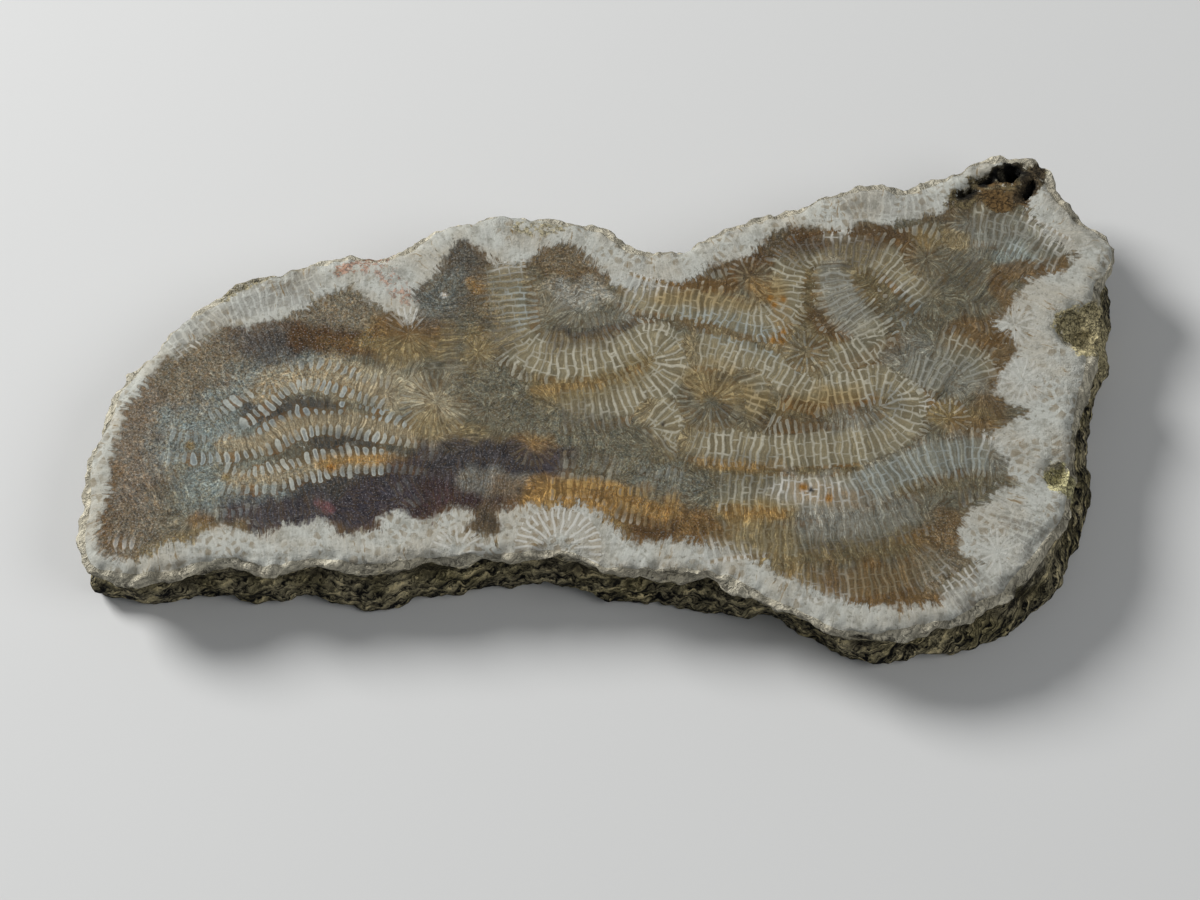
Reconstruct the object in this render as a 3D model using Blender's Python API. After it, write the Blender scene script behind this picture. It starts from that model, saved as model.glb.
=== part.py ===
"""A slab sawn from a fossil brain coral: flat polished face, flat sawn back, rough natural wall.

The slab lies on its back with the polished face up. Metres, +Z up, +X along the slab's length,
origin at the middle of its footprint on the surface it rests on.
"""

import math

import bmesh
import bpy
import numpy
from mathutils import Matrix, Vector, noise

MM = 0.001
THICKNESS = 13.0 * MM

# The polished face's edge, anticlockwise from the near left corner, in millimetres:
# x, y and how far the wall's foot stands out past the edge there (negative where it is undercut).
FACE_EDGE = [
    (-74.0, -27.3, 0.0),
    (-70.0, -28.8, -0.5),
    (-64.0, -28.6, 0.0),
    (-58.5, -27.2, 0.8),
    (-54.0, -26.4, 1.2),
    (-49.0, -27.7, 0.4),
    (-44.0, -26.8, 0.8),
    (-40.5, -26.6, 1.2),
    (-34.0, -27.4, 1.8),
    (-27.0, -26.3, 1.4),
    (-21.0, -26.3, 0.2),
    (-15.5, -25.8, 0.0),
    (-8.5, -25.2, 0.4),
    (-4.5, -25.9, 0.8),
    (-0.5, -27.9, 0.0),
    (4.5, -28.1, 0.0),
    (10.5, -28.0, 0.5),
    (15.5, -28.7, 1.2),
    (19.0, -30.4, 0.8),
    (22.0, -32.1, -1.6),
    (27.0, -34.4, -1.6),
    (32.7, -37.4, -1.0),
    (38.0, -37.9, 0.0),
    (44.0, -36.6, 0.2),
    (49.8, -35.3, 0.8),
    (53.0, -33.1, 1.8),
    (56.0, -31.7, 2.2),
    (58.0, -29.0, 3.4),
    (61.0, -25.8, 4.0),
    (63.0, -22.8, 3.6),
    (65.1, -20.4, 2.6),
    (66.3, -15.0, 3.2),
    (67.0, -9.9, 3.2),
    (67.9, -4.5, 2.8),
    (68.3, -1.5, 2.6),
    (69.6, 2.5, 1.8),
    (70.4, 6.0, 2.6),
    (71.4, 10.0, 3.0),
    (71.8, 13.5, 3.2),
    (72.0, 16.9, 3.0),
    (74.2, 19.8, 1.0),
    (75.2, 22.7, -0.2),
    (73.2, 25.6, -0.8),
    (70.2, 27.7, -0.6),
    (67.3, 31.1, 0.3),
    (64.7, 35.5, 0.4),
    (62.3, 37.3, -0.4),
    (59.0, 37.8, -0.6),
    (56.0, 37.5, -0.8),
    (52.5, 35.6, 0.2),
    (46.8, 33.0, 0.8),
    (43.8, 32.3, 0.6),
    (40.8, 33.2, -0.4),
    (37.5, 33.0, -0.6),
    (34.8, 31.7, 0.4),
    (31.7, 31.4, 0.6),
    (28.7, 29.3, 1.2),
    (22.7, 27.8, 0.8),
    (16.7, 25.4, -0.2),
    (10.7, 22.6, 0.6),
    (4.7, 22.1, 1.4),
    (1.7, 23.6, 1.0),
    (-1.5, 25.9, 0.2),
    (-7.2, 27.4, -0.8),
    (-14.5, 28.5, -1.2),
    (-20.5, 27.6, -0.6),
    (-25.1, 26.2, 0.0),
    (-28.1, 23.9, 0.8),
    (-31.5, 21.7, 1.2),
    (-34.5, 20.9, 0.8),
    (-37.5, 21.2, -0.2),
    (-42.8, 20.4, -0.6),
    (-48.7, 18.9, 0.2),
    (-54.6, 16.4, 0.6),
    (-60.0, 12.4, 0.2),
    (-62.6, 10.9, -0.4),
    (-65.3, 7.2, -0.6),
    (-70.7, 0.4, 0.4),
    (-72.8, -5.7, 0.6),
    (-74.9, -12.4, -0.4),
    (-74.6, -18.0, -0.8),
    (-75.1, -22.0, -0.4),
    (-74.8, -25.0, 0.0),
]

# The wall's section from the face down: depth as a share of the thickness, then how much of the
# lip and of the foot's offset it has. A rounded lip, an undercut and a ledge above the sawn back.
WALL_SECTION = [
    (0.00, 0.00, 0.00),
    (0.04, 0.60, 0.02),
    (0.11, 1.00, 0.10),
    (0.19, 0.85, 0.22),
    (0.27, 0.20, 0.36),
    (0.36, -0.45, 0.52),
    (0.48, -0.65, 0.72),
    (0.61, -0.15, 0.92),
    (0.74, 0.50, 1.06),
    (0.86, 0.62, 1.10),
    (0.95, 0.25, 1.04),
    (1.00, -0.35, 0.94),
]
LIP = 0.95 * MM
STATIONS = 330
NORMAL_REACH = 5.0 * MM

# Roughness of the natural wall: lumps a few millimetres across and grains of about one.
LUMP_SIZE = 5.0 * MM
LUMP_HEIGHT = 0.85 * MM
GRAIN_SIZE = 1.7 * MM
GRAIN_HEIGHT = 0.34 * MM
EDGE_RAGGEDNESS = 0.22 * MM
LEVEL_SAG = 0.35 * MM

# How the section changes along the wall.
WANDER_SIZE = 14.0 * MM
WANDER_DEPTH = 0.16
LIP_SWELL = 0.9

# Natural hollows that open in the face, in millimetres and degrees:
# centre x, y, half length, half width, depth, turn.
HOLLOWS = {
    "corner_hollow": (60.6, 35.7, 2.2, 1.7, 3.6, 10.0),
    "corner_channel": (57.3, 34.7, 1.6, 0.8, 1.8, 25.0),
    "inner_hollow": (54.2, 32.6, 1.5, 1.0, 2.4, 30.0),
    "corner_crack": (63.6, 33.2, 1.9, 0.7, 1.6, 68.0),
    "spongy_pit": (65.0, -13.6, 1.9, 1.6, 1.5, 80.0),
    "side_notch": (71.6, 9.9, 5.4, 4.0, 3.2, 12.0),
}
HOLLOW_LUMPS = 0.22

STONE_COLOUR = (0.42, 0.36, 0.28, 1.0)
STONE_ROUGHNESS = 0.75


def clear_scene():
    for thing in list(bpy.data.objects):
        bpy.data.objects.remove(thing, do_unlink=True)


def new_collection(name):
    collection = bpy.data.collections.new(name)
    bpy.context.scene.collection.children.link(collection)
    return collection


def stone_material():
    material = bpy.data.materials.new("fossil_stone")
    material.use_nodes = True
    shader = material.node_tree.nodes["Principled BSDF"]
    shader.inputs["Base Color"].default_value = STONE_COLOUR
    shader.inputs["Roughness"].default_value = STONE_ROUGHNESS
    shader.inputs["Metallic"].default_value = 0.0
    return material


def spline_value(before, start, end, after, share):
    """Catmull-Rom value between start and end."""
    slope_in = (end - before) / 2.0
    slope_out = (after - start) / 2.0
    square = share * share
    cube = square * share
    return (
        start * (2.0 * cube - 3.0 * square + 1.0)
        + slope_in * (cube - 2.0 * square + share)
        + end * (3.0 * square - 2.0 * cube)
        + slope_out * (cube - square)
    )


def smooth_edge(steps_per_span=12):
    """The face's edge as a dense closed run of (x, y, foot offset) vectors in metres."""
    rows = [Vector(row) * MM for row in FACE_EDGE]
    count = len(rows)
    dense = []
    for index in range(count):
        before, start, end, after = (rows[(index + shift) % count] for shift in (-1, 0, 1, 2))
        for step in range(steps_per_span):
            dense.append(spline_value(before, start, end, after, step / steps_per_span))
    return dense


def even_stations(dense, count):
    """The same closed run resampled at even steps round the edge."""
    closed = dense + [dense[0]]
    reach = [0.0]
    for start, end in zip(closed, closed[1:]):
        reach.append(reach[-1] + (end.xy - start.xy).length)
    stations = []
    span = 0
    for index in range(count):
        target = reach[-1] * index / count
        while reach[span + 1] < target:
            span += 1
        share = (target - reach[span]) / (reach[span + 1] - reach[span])
        stations.append(closed[span].lerp(closed[span + 1], share))
    step = reach[-1] / count
    return stations, step


def outward_directions(stations, step):
    """Directions square to the edge, averaged over a few millimetres so that offsets never cross."""
    count = len(stations)
    window = max(1, round(NORMAL_REACH / step))
    directions = []
    for index in range(count):
        ahead = stations[(index + window) % count].xy
        behind = stations[(index - window) % count].xy
        along = ahead - behind
        directions.append(Vector((along.y, -along.x)).normalized())
    return directions


def roughness_at(place):
    lump = noise.noise(place / LUMP_SIZE)
    grain = noise.noise(place / GRAIN_SIZE + Vector((11.3, 5.7, 2.9)))
    return LUMP_HEIGHT * lump + GRAIN_HEIGHT * grain


def section_at(depth, share_column):
    depths = [row[0] for row in WALL_SECTION]
    return float(numpy.interp(depth, depths, [row[share_column] for row in WALL_SECTION]))


def edge_ring(stations, directions):
    """The face's own edge, slightly ragged."""
    ring = []
    for station, direction in zip(stations, directions):
        place = Vector((station.x, station.y, THICKNESS))
        ragged = EDGE_RAGGEDNESS * noise.noise(place / GRAIN_SIZE)
        ring.append(Vector((place.x + direction.x * ragged, place.y + direction.y * ragged, THICKNESS)))
    return ring


def wall_ring(stations, directions, depth):
    """One level of the wall: the edge moved out by the lip, the foot offset and the roughness.

    The lip's size and the level of the undercut wander slowly along the wall.
    """
    ring = []
    lowest = depth == 1.0
    for station, direction in zip(stations, directions):
        place = Vector((station.x, station.y, THICKNESS * (1.0 - depth)))
        wander = noise.noise(place.xy.to_3d() / WANDER_SIZE)
        swell = 1.0 + LIP_SWELL * noise.noise(place.xy.to_3d() / WANDER_SIZE + Vector((7.1, 3.3, 0.0)))
        level = depth if lowest else min(max(depth + WANDER_DEPTH * wander, 0.0), 1.0)
        offset = LIP * swell * section_at(level, 1) + station.z * section_at(level, 2) + roughness_at(place)
        sag = 0.0 if lowest else LEVEL_SAG * noise.noise(place / LUMP_SIZE + Vector((2.2, 8.4, 6.1)))
        outward = direction * offset
        ring.append(place + Vector((outward.x, outward.y, sag)))
    return ring


def loft(rings):
    """A closed bmesh through the rings, capped flat at the first and the last."""
    mesh = bmesh.new()
    levels = [[mesh.verts.new(place) for place in ring] for ring in rings]
    count = len(levels[0])
    for upper, lower in zip(levels, levels[1:]):
        for index in range(count):
            following = (index + 1) % count
            mesh.faces.new((upper[following], upper[index], lower[index], lower[following]))
    mesh.faces.new(levels[0])
    mesh.faces.new(reversed(levels[-1]))
    return mesh


def centre_on_footprint(mesh):
    """Moves the mesh so that the middle of its box is over the origin."""
    across = [vertex.co.x for vertex in mesh.verts]
    deep = [vertex.co.y for vertex in mesh.verts]
    shift = Vector((-(min(across) + max(across)) / 2.0, -(min(deep) + max(deep)) / 2.0, 0.0))
    bmesh.ops.translate(mesh, vec=shift, verts=mesh.verts)


def slab_object(collection):
    stations, step = even_stations(smooth_edge(), STATIONS)
    directions = outward_directions(stations, step)
    rings = [edge_ring(stations, directions)]
    rings += [wall_ring(stations, directions, row[0]) for row in WALL_SECTION[1:]]
    mesh = loft(rings)
    centre_on_footprint(mesh)
    data = bpy.data.meshes.new("coral_slab")
    mesh.to_mesh(data)
    mesh.free()
    slab = bpy.data.objects.new("coral_slab", data)
    slab.data.materials.append(stone_material())
    collection.objects.link(slab)
    return slab


def hollow_cutter(name, sizes, collection):
    """A lumpy ball that opens a natural hollow in the polished face."""
    x, y, half_length, half_width, depth, turn = sizes
    mesh = bmesh.new()
    bmesh.ops.create_icosphere(mesh, subdivisions=3, radius=1.0)
    for vertex in mesh.verts:
        vertex.co *= 1.0 + HOLLOW_LUMPS * noise.noise(vertex.co * 1.8 + Vector((x, y, depth)))
    stretch = Matrix.Diagonal((half_length * MM, half_width * MM, depth * MM, 1.0))
    mesh.transform(Matrix.Rotation(math.radians(turn), 4, "Z") @ stretch)
    data = bpy.data.meshes.new(name)
    mesh.to_mesh(data)
    mesh.free()
    cutter = bpy.data.objects.new(name, data)
    cutter.location = (x * MM, y * MM, THICKNESS)
    cutter.hide_render = True
    cutter.display_type = "WIRE"
    collection.objects.link(cutter)
    return cutter


def cut(body, cutter):
    boolean = body.modifiers.new(cutter.name, "BOOLEAN")
    boolean.operation = "DIFFERENCE"
    boolean.solver = "EXACT"
    boolean.object = cutter


def main():
    clear_scene()
    part = new_collection("brain_coral_slab")
    cutters = new_collection("cutters")
    slab = slab_object(part)
    for name, sizes in HOLLOWS.items():
        cut(slab, hollow_cutter(name, sizes, cutters))


main()
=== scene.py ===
"""Looks of the fossil brain coral slab: a rough limestone wall round a flat polished face.

The face shows the coral's own pattern. Colony walls are ladders of small cells, septa run square to
them and end in pale leaf-shaped tips, and between the tips lie the dark valleys.
"""

import functools
import math

import bmesh
import bpy
import numpy as np
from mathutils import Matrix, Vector, bvhtree, geometry, kdtree, noise


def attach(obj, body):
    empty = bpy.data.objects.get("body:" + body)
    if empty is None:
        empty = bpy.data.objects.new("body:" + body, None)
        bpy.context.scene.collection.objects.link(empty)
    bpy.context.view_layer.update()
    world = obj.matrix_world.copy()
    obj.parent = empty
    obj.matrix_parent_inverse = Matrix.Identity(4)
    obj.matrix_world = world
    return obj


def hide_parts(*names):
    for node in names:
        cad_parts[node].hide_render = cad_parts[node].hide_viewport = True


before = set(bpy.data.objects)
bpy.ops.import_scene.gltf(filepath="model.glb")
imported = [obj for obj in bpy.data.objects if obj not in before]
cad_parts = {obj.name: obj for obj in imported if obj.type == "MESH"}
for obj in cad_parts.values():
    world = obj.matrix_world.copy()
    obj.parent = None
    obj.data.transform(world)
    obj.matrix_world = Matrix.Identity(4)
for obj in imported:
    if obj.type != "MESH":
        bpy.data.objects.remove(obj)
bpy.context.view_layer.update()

MM = 0.001

# ---------------------------------------------------------------- camera
# Traced places are points of the camera's 1200 x 900 picture, and on_face() lays them on the slab.
PICTURE_CENTRE = (600.0, 450.0)
PICTURE_WIDTH = 1200.0
LENS_LENGTH = 100.0
SENSOR_WIDTH = 36.0
CAMERA_ELEVATION = math.radians(66.0)
CAMERA_DISTANCE = 483.0
AIM_POINT = (-0.97, -10.03, 13.0)

# ---------------------------------------------------------------- mesh
WALL_CUTS = 2
FACE_CELL = 0.43
FACE_LEVEL = 13.0
FLAT_NORMAL = 0.995
FLAT_SLACK = 0.02
WALL_DROP = 0.1
JOIN_DISTANCE = 0.005
QUAD_ANGLE = math.radians(60)
WALL_ROUNDNESS = 0.6
FACE_CLEARANCE = 0.6
SMOOTH_ANGLE = math.radians(50)
INSIDE = 1
FACE_SLOT = 0
WALL_SLOT = 1
BACK_SLOT = 2

# ---------------------------------------------------------------- the coral's pattern
# Septa stand SEPTUM_STEP apart. Lengths are millimetres, and traced points are picture points.
SEPTUM_STEP = 1.08
GUIDE_STEP = 0.1
SPAN_SAMPLES = 24
TIP_GAP = 0.35
CELL_STEP = 1.8
ROW_STEP = 1.15
LEAST_STRETCH = 0.35
MOST_STRETCH = 3.2
BEND_SPAN = 15
END_FADE = 1.6
NET_FADE = -0.2
NET_MARGIN = 0.6
NET_LEAST = 0.1
RIM_FINGERS = 1.7
RIM_NET = -1.5
RIM_TIPS = 0.7
STAR_CENTRE = 0.3
RIM_SHOWN = 0.16
PLAIN_LEAVES = 0.86

# How far the septa swell into leaves, 0 to 1, beside rows, walls and valleys, in stars and on the rim.
ROW_SWELLING = 0.8
WALL_SWELLING = 0.3
VALLEY_SWELLING = 0.7
STAR_SWELLING = 0.0
RIM_SWELLING = 0.4

# Numbers that tell the pattern's guides apart, and how far apart their septa are counted.
FIRST_VALLEY = 100
FIRST_STAR = 200
RIM_GUIDE = 300
COUNT_GAP = 40.0
RIM_SMOOTHING = 9
FAN_RADIUS = 2.5
WALL_MARGIN = 0.8
VALLEY_REACH = 4.0

# Colony walls: half width of the ladder of cells, length of the leaf-shaped tips beside it, how
# plainly the cells and the tips show (0 to 1), and the middle line of the wall. The walls named
# row_ have no cells, and their septa stand closer.
WALLS = {
    "hook": (2.8, 1.6, 1.0, 0.8, (
        (503, 262), (506, 285), (508, 310), (512, 332), (526, 350), (550, 358), (580, 360), (605, 357),
        (628, 349), (648, 340), (664, 342), (673, 354), (672, 370), (660, 384), (640, 394), (615, 401),
        (588, 405), (558, 408))),
    "hook_tail": (2.2, 0.8, 0.9, 0.5, ((650, 405), (668, 420), (668, 436), (655, 446))),
    "middle": (2.7, 2.2, 1.0, 0.85, (
        (688, 438), (710, 443), (740, 446), (770, 451), (800, 450), (830, 448), (858, 446), (884, 438),
        (902, 423), (908, 405), (899, 388), (876, 381), (848, 386), (818, 388), (792, 378), (768, 368),
        (742, 359), (716, 352), (694, 349))),
    "star_wall": (1.6, 0.8, 0.9, 0.5, ((752, 372), (757, 388), (754, 404), (746, 418))),
    "upper": (2.4, 1.5, 0.9, 0.8, (
        (622, 288), (648, 296), (680, 302), (712, 307), (742, 318), (768, 320), (785, 304), (787, 280),
        (797, 259), (822, 249), (848, 250), (874, 254), (897, 266), (916, 282), (934, 298))),
    "inner": (2.4, 1.6, 0.9, 0.75, (
        (834, 262), (836, 285), (846, 305), (862, 322), (872, 340), (858, 352), (838, 360), (816, 370))),
    "corner": (2.9, 0.9, 0.9, 0.5, ((968, 222), (995, 226), (1020, 234), (1046, 248), (1066, 258))),
    "lower": (2.5, 1.6, 0.85, 0.7, (
        (715, 488), (745, 490), (780, 492), (815, 493), (850, 490), (880, 480), (908, 467), (940, 457),
        (972, 453), (995, 456))),
    "low": (2.1, 1.5, 0.65, 0.6, (
        (700, 548), (730, 543), (760, 541), (795, 541), (830, 536), (865, 530), (900, 522), (930, 512))),
    "lowest": (2.1, 1.4, 0.45, 0.3, (
        (790, 583), (825, 585), (860, 583), (895, 578), (925, 568), (945, 552))),
    "east": (2.5, 1.6, 0.8, 0.6, ((935, 345), (955, 352), (975, 365), (985, 385))),
    "east_low": (2.5, 1.6, 0.8, 0.6, ((905, 365), (930, 372), (950, 382))),
    "dark_ladder": (2.2, 0.6, 0.45, 0.3, ((446, 305), (447, 330), (448, 355), (449, 378))),
    "left_rim": (3.4, 0.6, 0.8, 0.2, (
        (160, 345), (190, 326), (222, 304), (258, 293), (292, 286), (322, 276))),
    "right_rim": (3.6, 0.6, 0.8, 0.2, ((945, 608), (975, 590), (1005, 566), (1022, 540), (1030, 515))),
    "top_rim": (2.2, 0.6, 0.7, 0.2, ((838, 208), (862, 202), (890, 204), (915, 203), (935, 200))),
    "row_upper": (0.8, 2.0, 0.0, 0.95, (
        (213, 427), (238, 414), (262, 397), (280, 383), (302, 374), (330, 376), (358, 386), (388, 394))),
    "row_middle": (0.9, 2.0, 0.0, 0.95, (
        (160, 446), (190, 447), (220, 447), (245, 445), (268, 437), (290, 426), (315, 420), (345, 420),
        (378, 426), (408, 434), (436, 436))),
    "row_lower": (0.7, 1.9, 0.0, 0.95, (
        (222, 478), (250, 481), (282, 476), (312, 467), (345, 461), (380, 459), (410, 461), (436, 467))),
    "row_blue": (0.4, 1.6, 0.0, 0.3, ((190, 520), (225, 520), (262, 516), (300, 512), (330, 505))),
    "row_white": (0.3, 2.0, 0.0, 0.7, ((106, 548), (122, 550), (140, 552))),
    "maroon_row": (0.5, 1.9, 0.0, 0.25, ((398, 500), (420, 488), (450, 482), (482, 482), (510, 488))),
}

# Valley floors: the tips on both sides of one point at it. Length and plainness of the tips where
# no wall is near, and the middle line of the valley.
VALLEYS = {
    "hook_inside": (1.8, 0.7, ((524, 392), (556, 387), (582, 385), (604, 380), (626, 372), (642, 361))),
    "under_hook": (2.5, 0.7, (
        (545, 316), (562, 333), (580, 338), (606, 334), (636, 326), (668, 322), (700, 325), (725, 333),
        (752, 343), (780, 350), (800, 350))),
    "rust_line": (2.2, 0.5, ((655, 282), (685, 285), (715, 284), (744, 277))),
    "column": (2.2, 0.6, ((808, 268), (809, 285), (808, 305), (812, 325), (824, 336), (840, 336))),
    "olive": (2.4, 0.8, ((850, 262), (858, 278), (874, 292), (890, 304), (906, 316))),
    "middle_inside": (2.4, 0.8, ((745, 405), (765, 408), (790, 416), (820, 419), (848, 413), (876, 406))),
    "under_middle": (2.4, 0.7, (
        (640, 455), (668, 463), (700, 468), (735, 471), (775, 470), (815, 472), (850, 470), (880, 461),
        (902, 450), (922, 440), (945, 428))),
    "low_feather": (3.0, 0.8, (
        (712, 522), (740, 517), (768, 514), (800, 516), (838, 517), (872, 512), (905, 500), (935, 491),
        (965, 486), (1000, 482))),
    "lowest_feather": (2.2, 0.5, ((775, 562), (805, 558), (840, 556), (875, 553), (908, 547), (935, 535))),
    "north_east": (3.0, 0.45, ((944, 258), (966, 276), (988, 292), (1006, 304))),
    "east_dark": (2.6, 0.5, ((890, 330), (925, 324), (960, 320), (992, 316))),
    "rust_tongue": (2.1, 0.5, ((850, 370), (868, 360), (890, 354), (908, 350))),
    "north": (3.0, 0.6, ((800, 238), (830, 233), (855, 233), (880, 232), (910, 236), (940, 246))),
    "orange": (3.3, 0.8, ((548, 486), (580, 490), (612, 496), (645, 502), (678, 508))),
    "first_dark": (3.0, 0.7, ((222, 446), (250, 430), (275, 414), (300, 404), (340, 408), (380, 416))),
    "second_dark": (3.0, 0.7, ((240, 466), (270, 458), (300, 447), (340, 440), (380, 446), (420, 452))),
    "cream_flow": (2.4, 0.5, ((330, 352), (360, 360), (390, 366), (415, 376))),
    "left_dark": (2.4, 0.25, ((130, 505), (150, 492), (185, 482))),
    "south": (2.7, 0.6, ((560, 470), (590, 472), (620, 478))),
    "upper_left": (2.7, 0.3, ((245, 350), (275, 338), (310, 330), (345, 325))),
}

# Round ends of valleys: septa run in from a ring. Radius of the ring, length and plainness of the
# tips, and the centre.
STARS = {
    "green_star": (5.0, 3.6, 0.45, (711, 401)),
    "sun": (4.6, 4.3, 0.35, (409, 334)),
    "side_sun": (2.8, 2.6, 0.35, (478, 352)),
    "low_sun": (5.4, 5.0, 0.35, (436, 402)),
    "small_sun": (2.2, 2.0, 0.3, (487, 409)),
    "amber_sun": (3.6, 3.3, 0.25, (532, 444)),
    "upper_star": (3.4, 2.6, 0.6, (750, 277)),
    "north_star": (3.4, 3.0, 0.5, (926, 258)),
    "east_star": (3.2, 2.8, 0.35, (949, 418)),
    "olive_fan": (3.4, 2.8, 0.5, (806, 352)),
    "white_fan": (6.3, 4.4, 0.45, (558, 548)),
    "east_tuft": (3.4, 3.2, 0.25, (1014, 325)),
    "lower_east_tuft": (3.6, 3.4, 0.25, (1022, 380)),
    "south_east_tuft": (3.6, 3.4, 0.25, (998, 552)),
    "white_fingers": (4.0, 2.8, 0.3, (458, 551)),
    "left_fan": (3.0, 2.6, 0.6, (268, 376)),
    "rust_fan": (3.0, 2.7, 0.3, (322, 318)),
}

# ---------------------------------------------------------------- colours of the face
TONES = {
    "chalk": (174, 175, 167),
    "chalk_warm": (168, 164, 151),
    "chalk_shade": (128, 126, 115),
    "crystal": (158, 156, 158),
    "crest_highlight": (196, 180, 138),
    "lip_crust_and_light": (214, 204, 178),
    "pore": (124, 112, 90),
    "limestone": (152, 143, 115),
    "olive_stone": (120, 112, 80),
    "pit_shade": (40, 35, 22),
    "olive_grey": (88, 85, 71),
    "warm_grey": (112, 106, 90),
    "brown_grey": (98, 90, 74),
    "granular": (100, 90, 76),
    "cell_brown": (114, 103, 78),
    "dark_brown": (76, 66, 50),
    "grey_blue": (106, 112, 106),
    "deep_grey": (48, 47, 47),
    "purple": (48, 44, 48),
    "maroon": (46, 33, 35),
    "rust": (92, 70, 40),
    "deep_rust": (66, 48, 28),
    "orange": (136, 106, 60),
    "amber": (140, 100, 44),
    "ochre": (118, 103, 70),
    "line_brown": (84, 66, 38),
    "line_rust": (122, 86, 40),
    "core_grey": (92, 98, 100),
    "cream": (134, 126, 104),
    "tan": (130, 119, 96),
    "olive_brown": (94, 84, 60),
    "grey": (112, 111, 101),
    "pale_grey": (126, 124, 114),
    "pink": (96, 60, 60),
    "hollow_shadow": (16, 15, 13),
    "moss": (200, 192, 146),
    "lump": (190, 178, 138),
    "blush": (160, 120, 98),
    "fill_tint": (255, 248, 226),
    "warm_tint": (255, 240, 222),
    "cool_tint": (232, 244, 255),
    "leaf": (168, 171, 163),
    "rung": (168, 164, 148),
    "white": (186, 184, 176),
    "blue_white": (156, 163, 160),
    "orange_white": (156, 139, 104),
    "honey": (160, 130, 78),
    "fleck": (116, 92, 48),
    "grey_white": (142, 142, 134),
    "dim": (112, 108, 100),
}
GROUND_TONE = "olive_grey"
SEPTA_TONE = "rung"
SEPTA_CONTRAST = 0.75
GRAIN = 0.35

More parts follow.
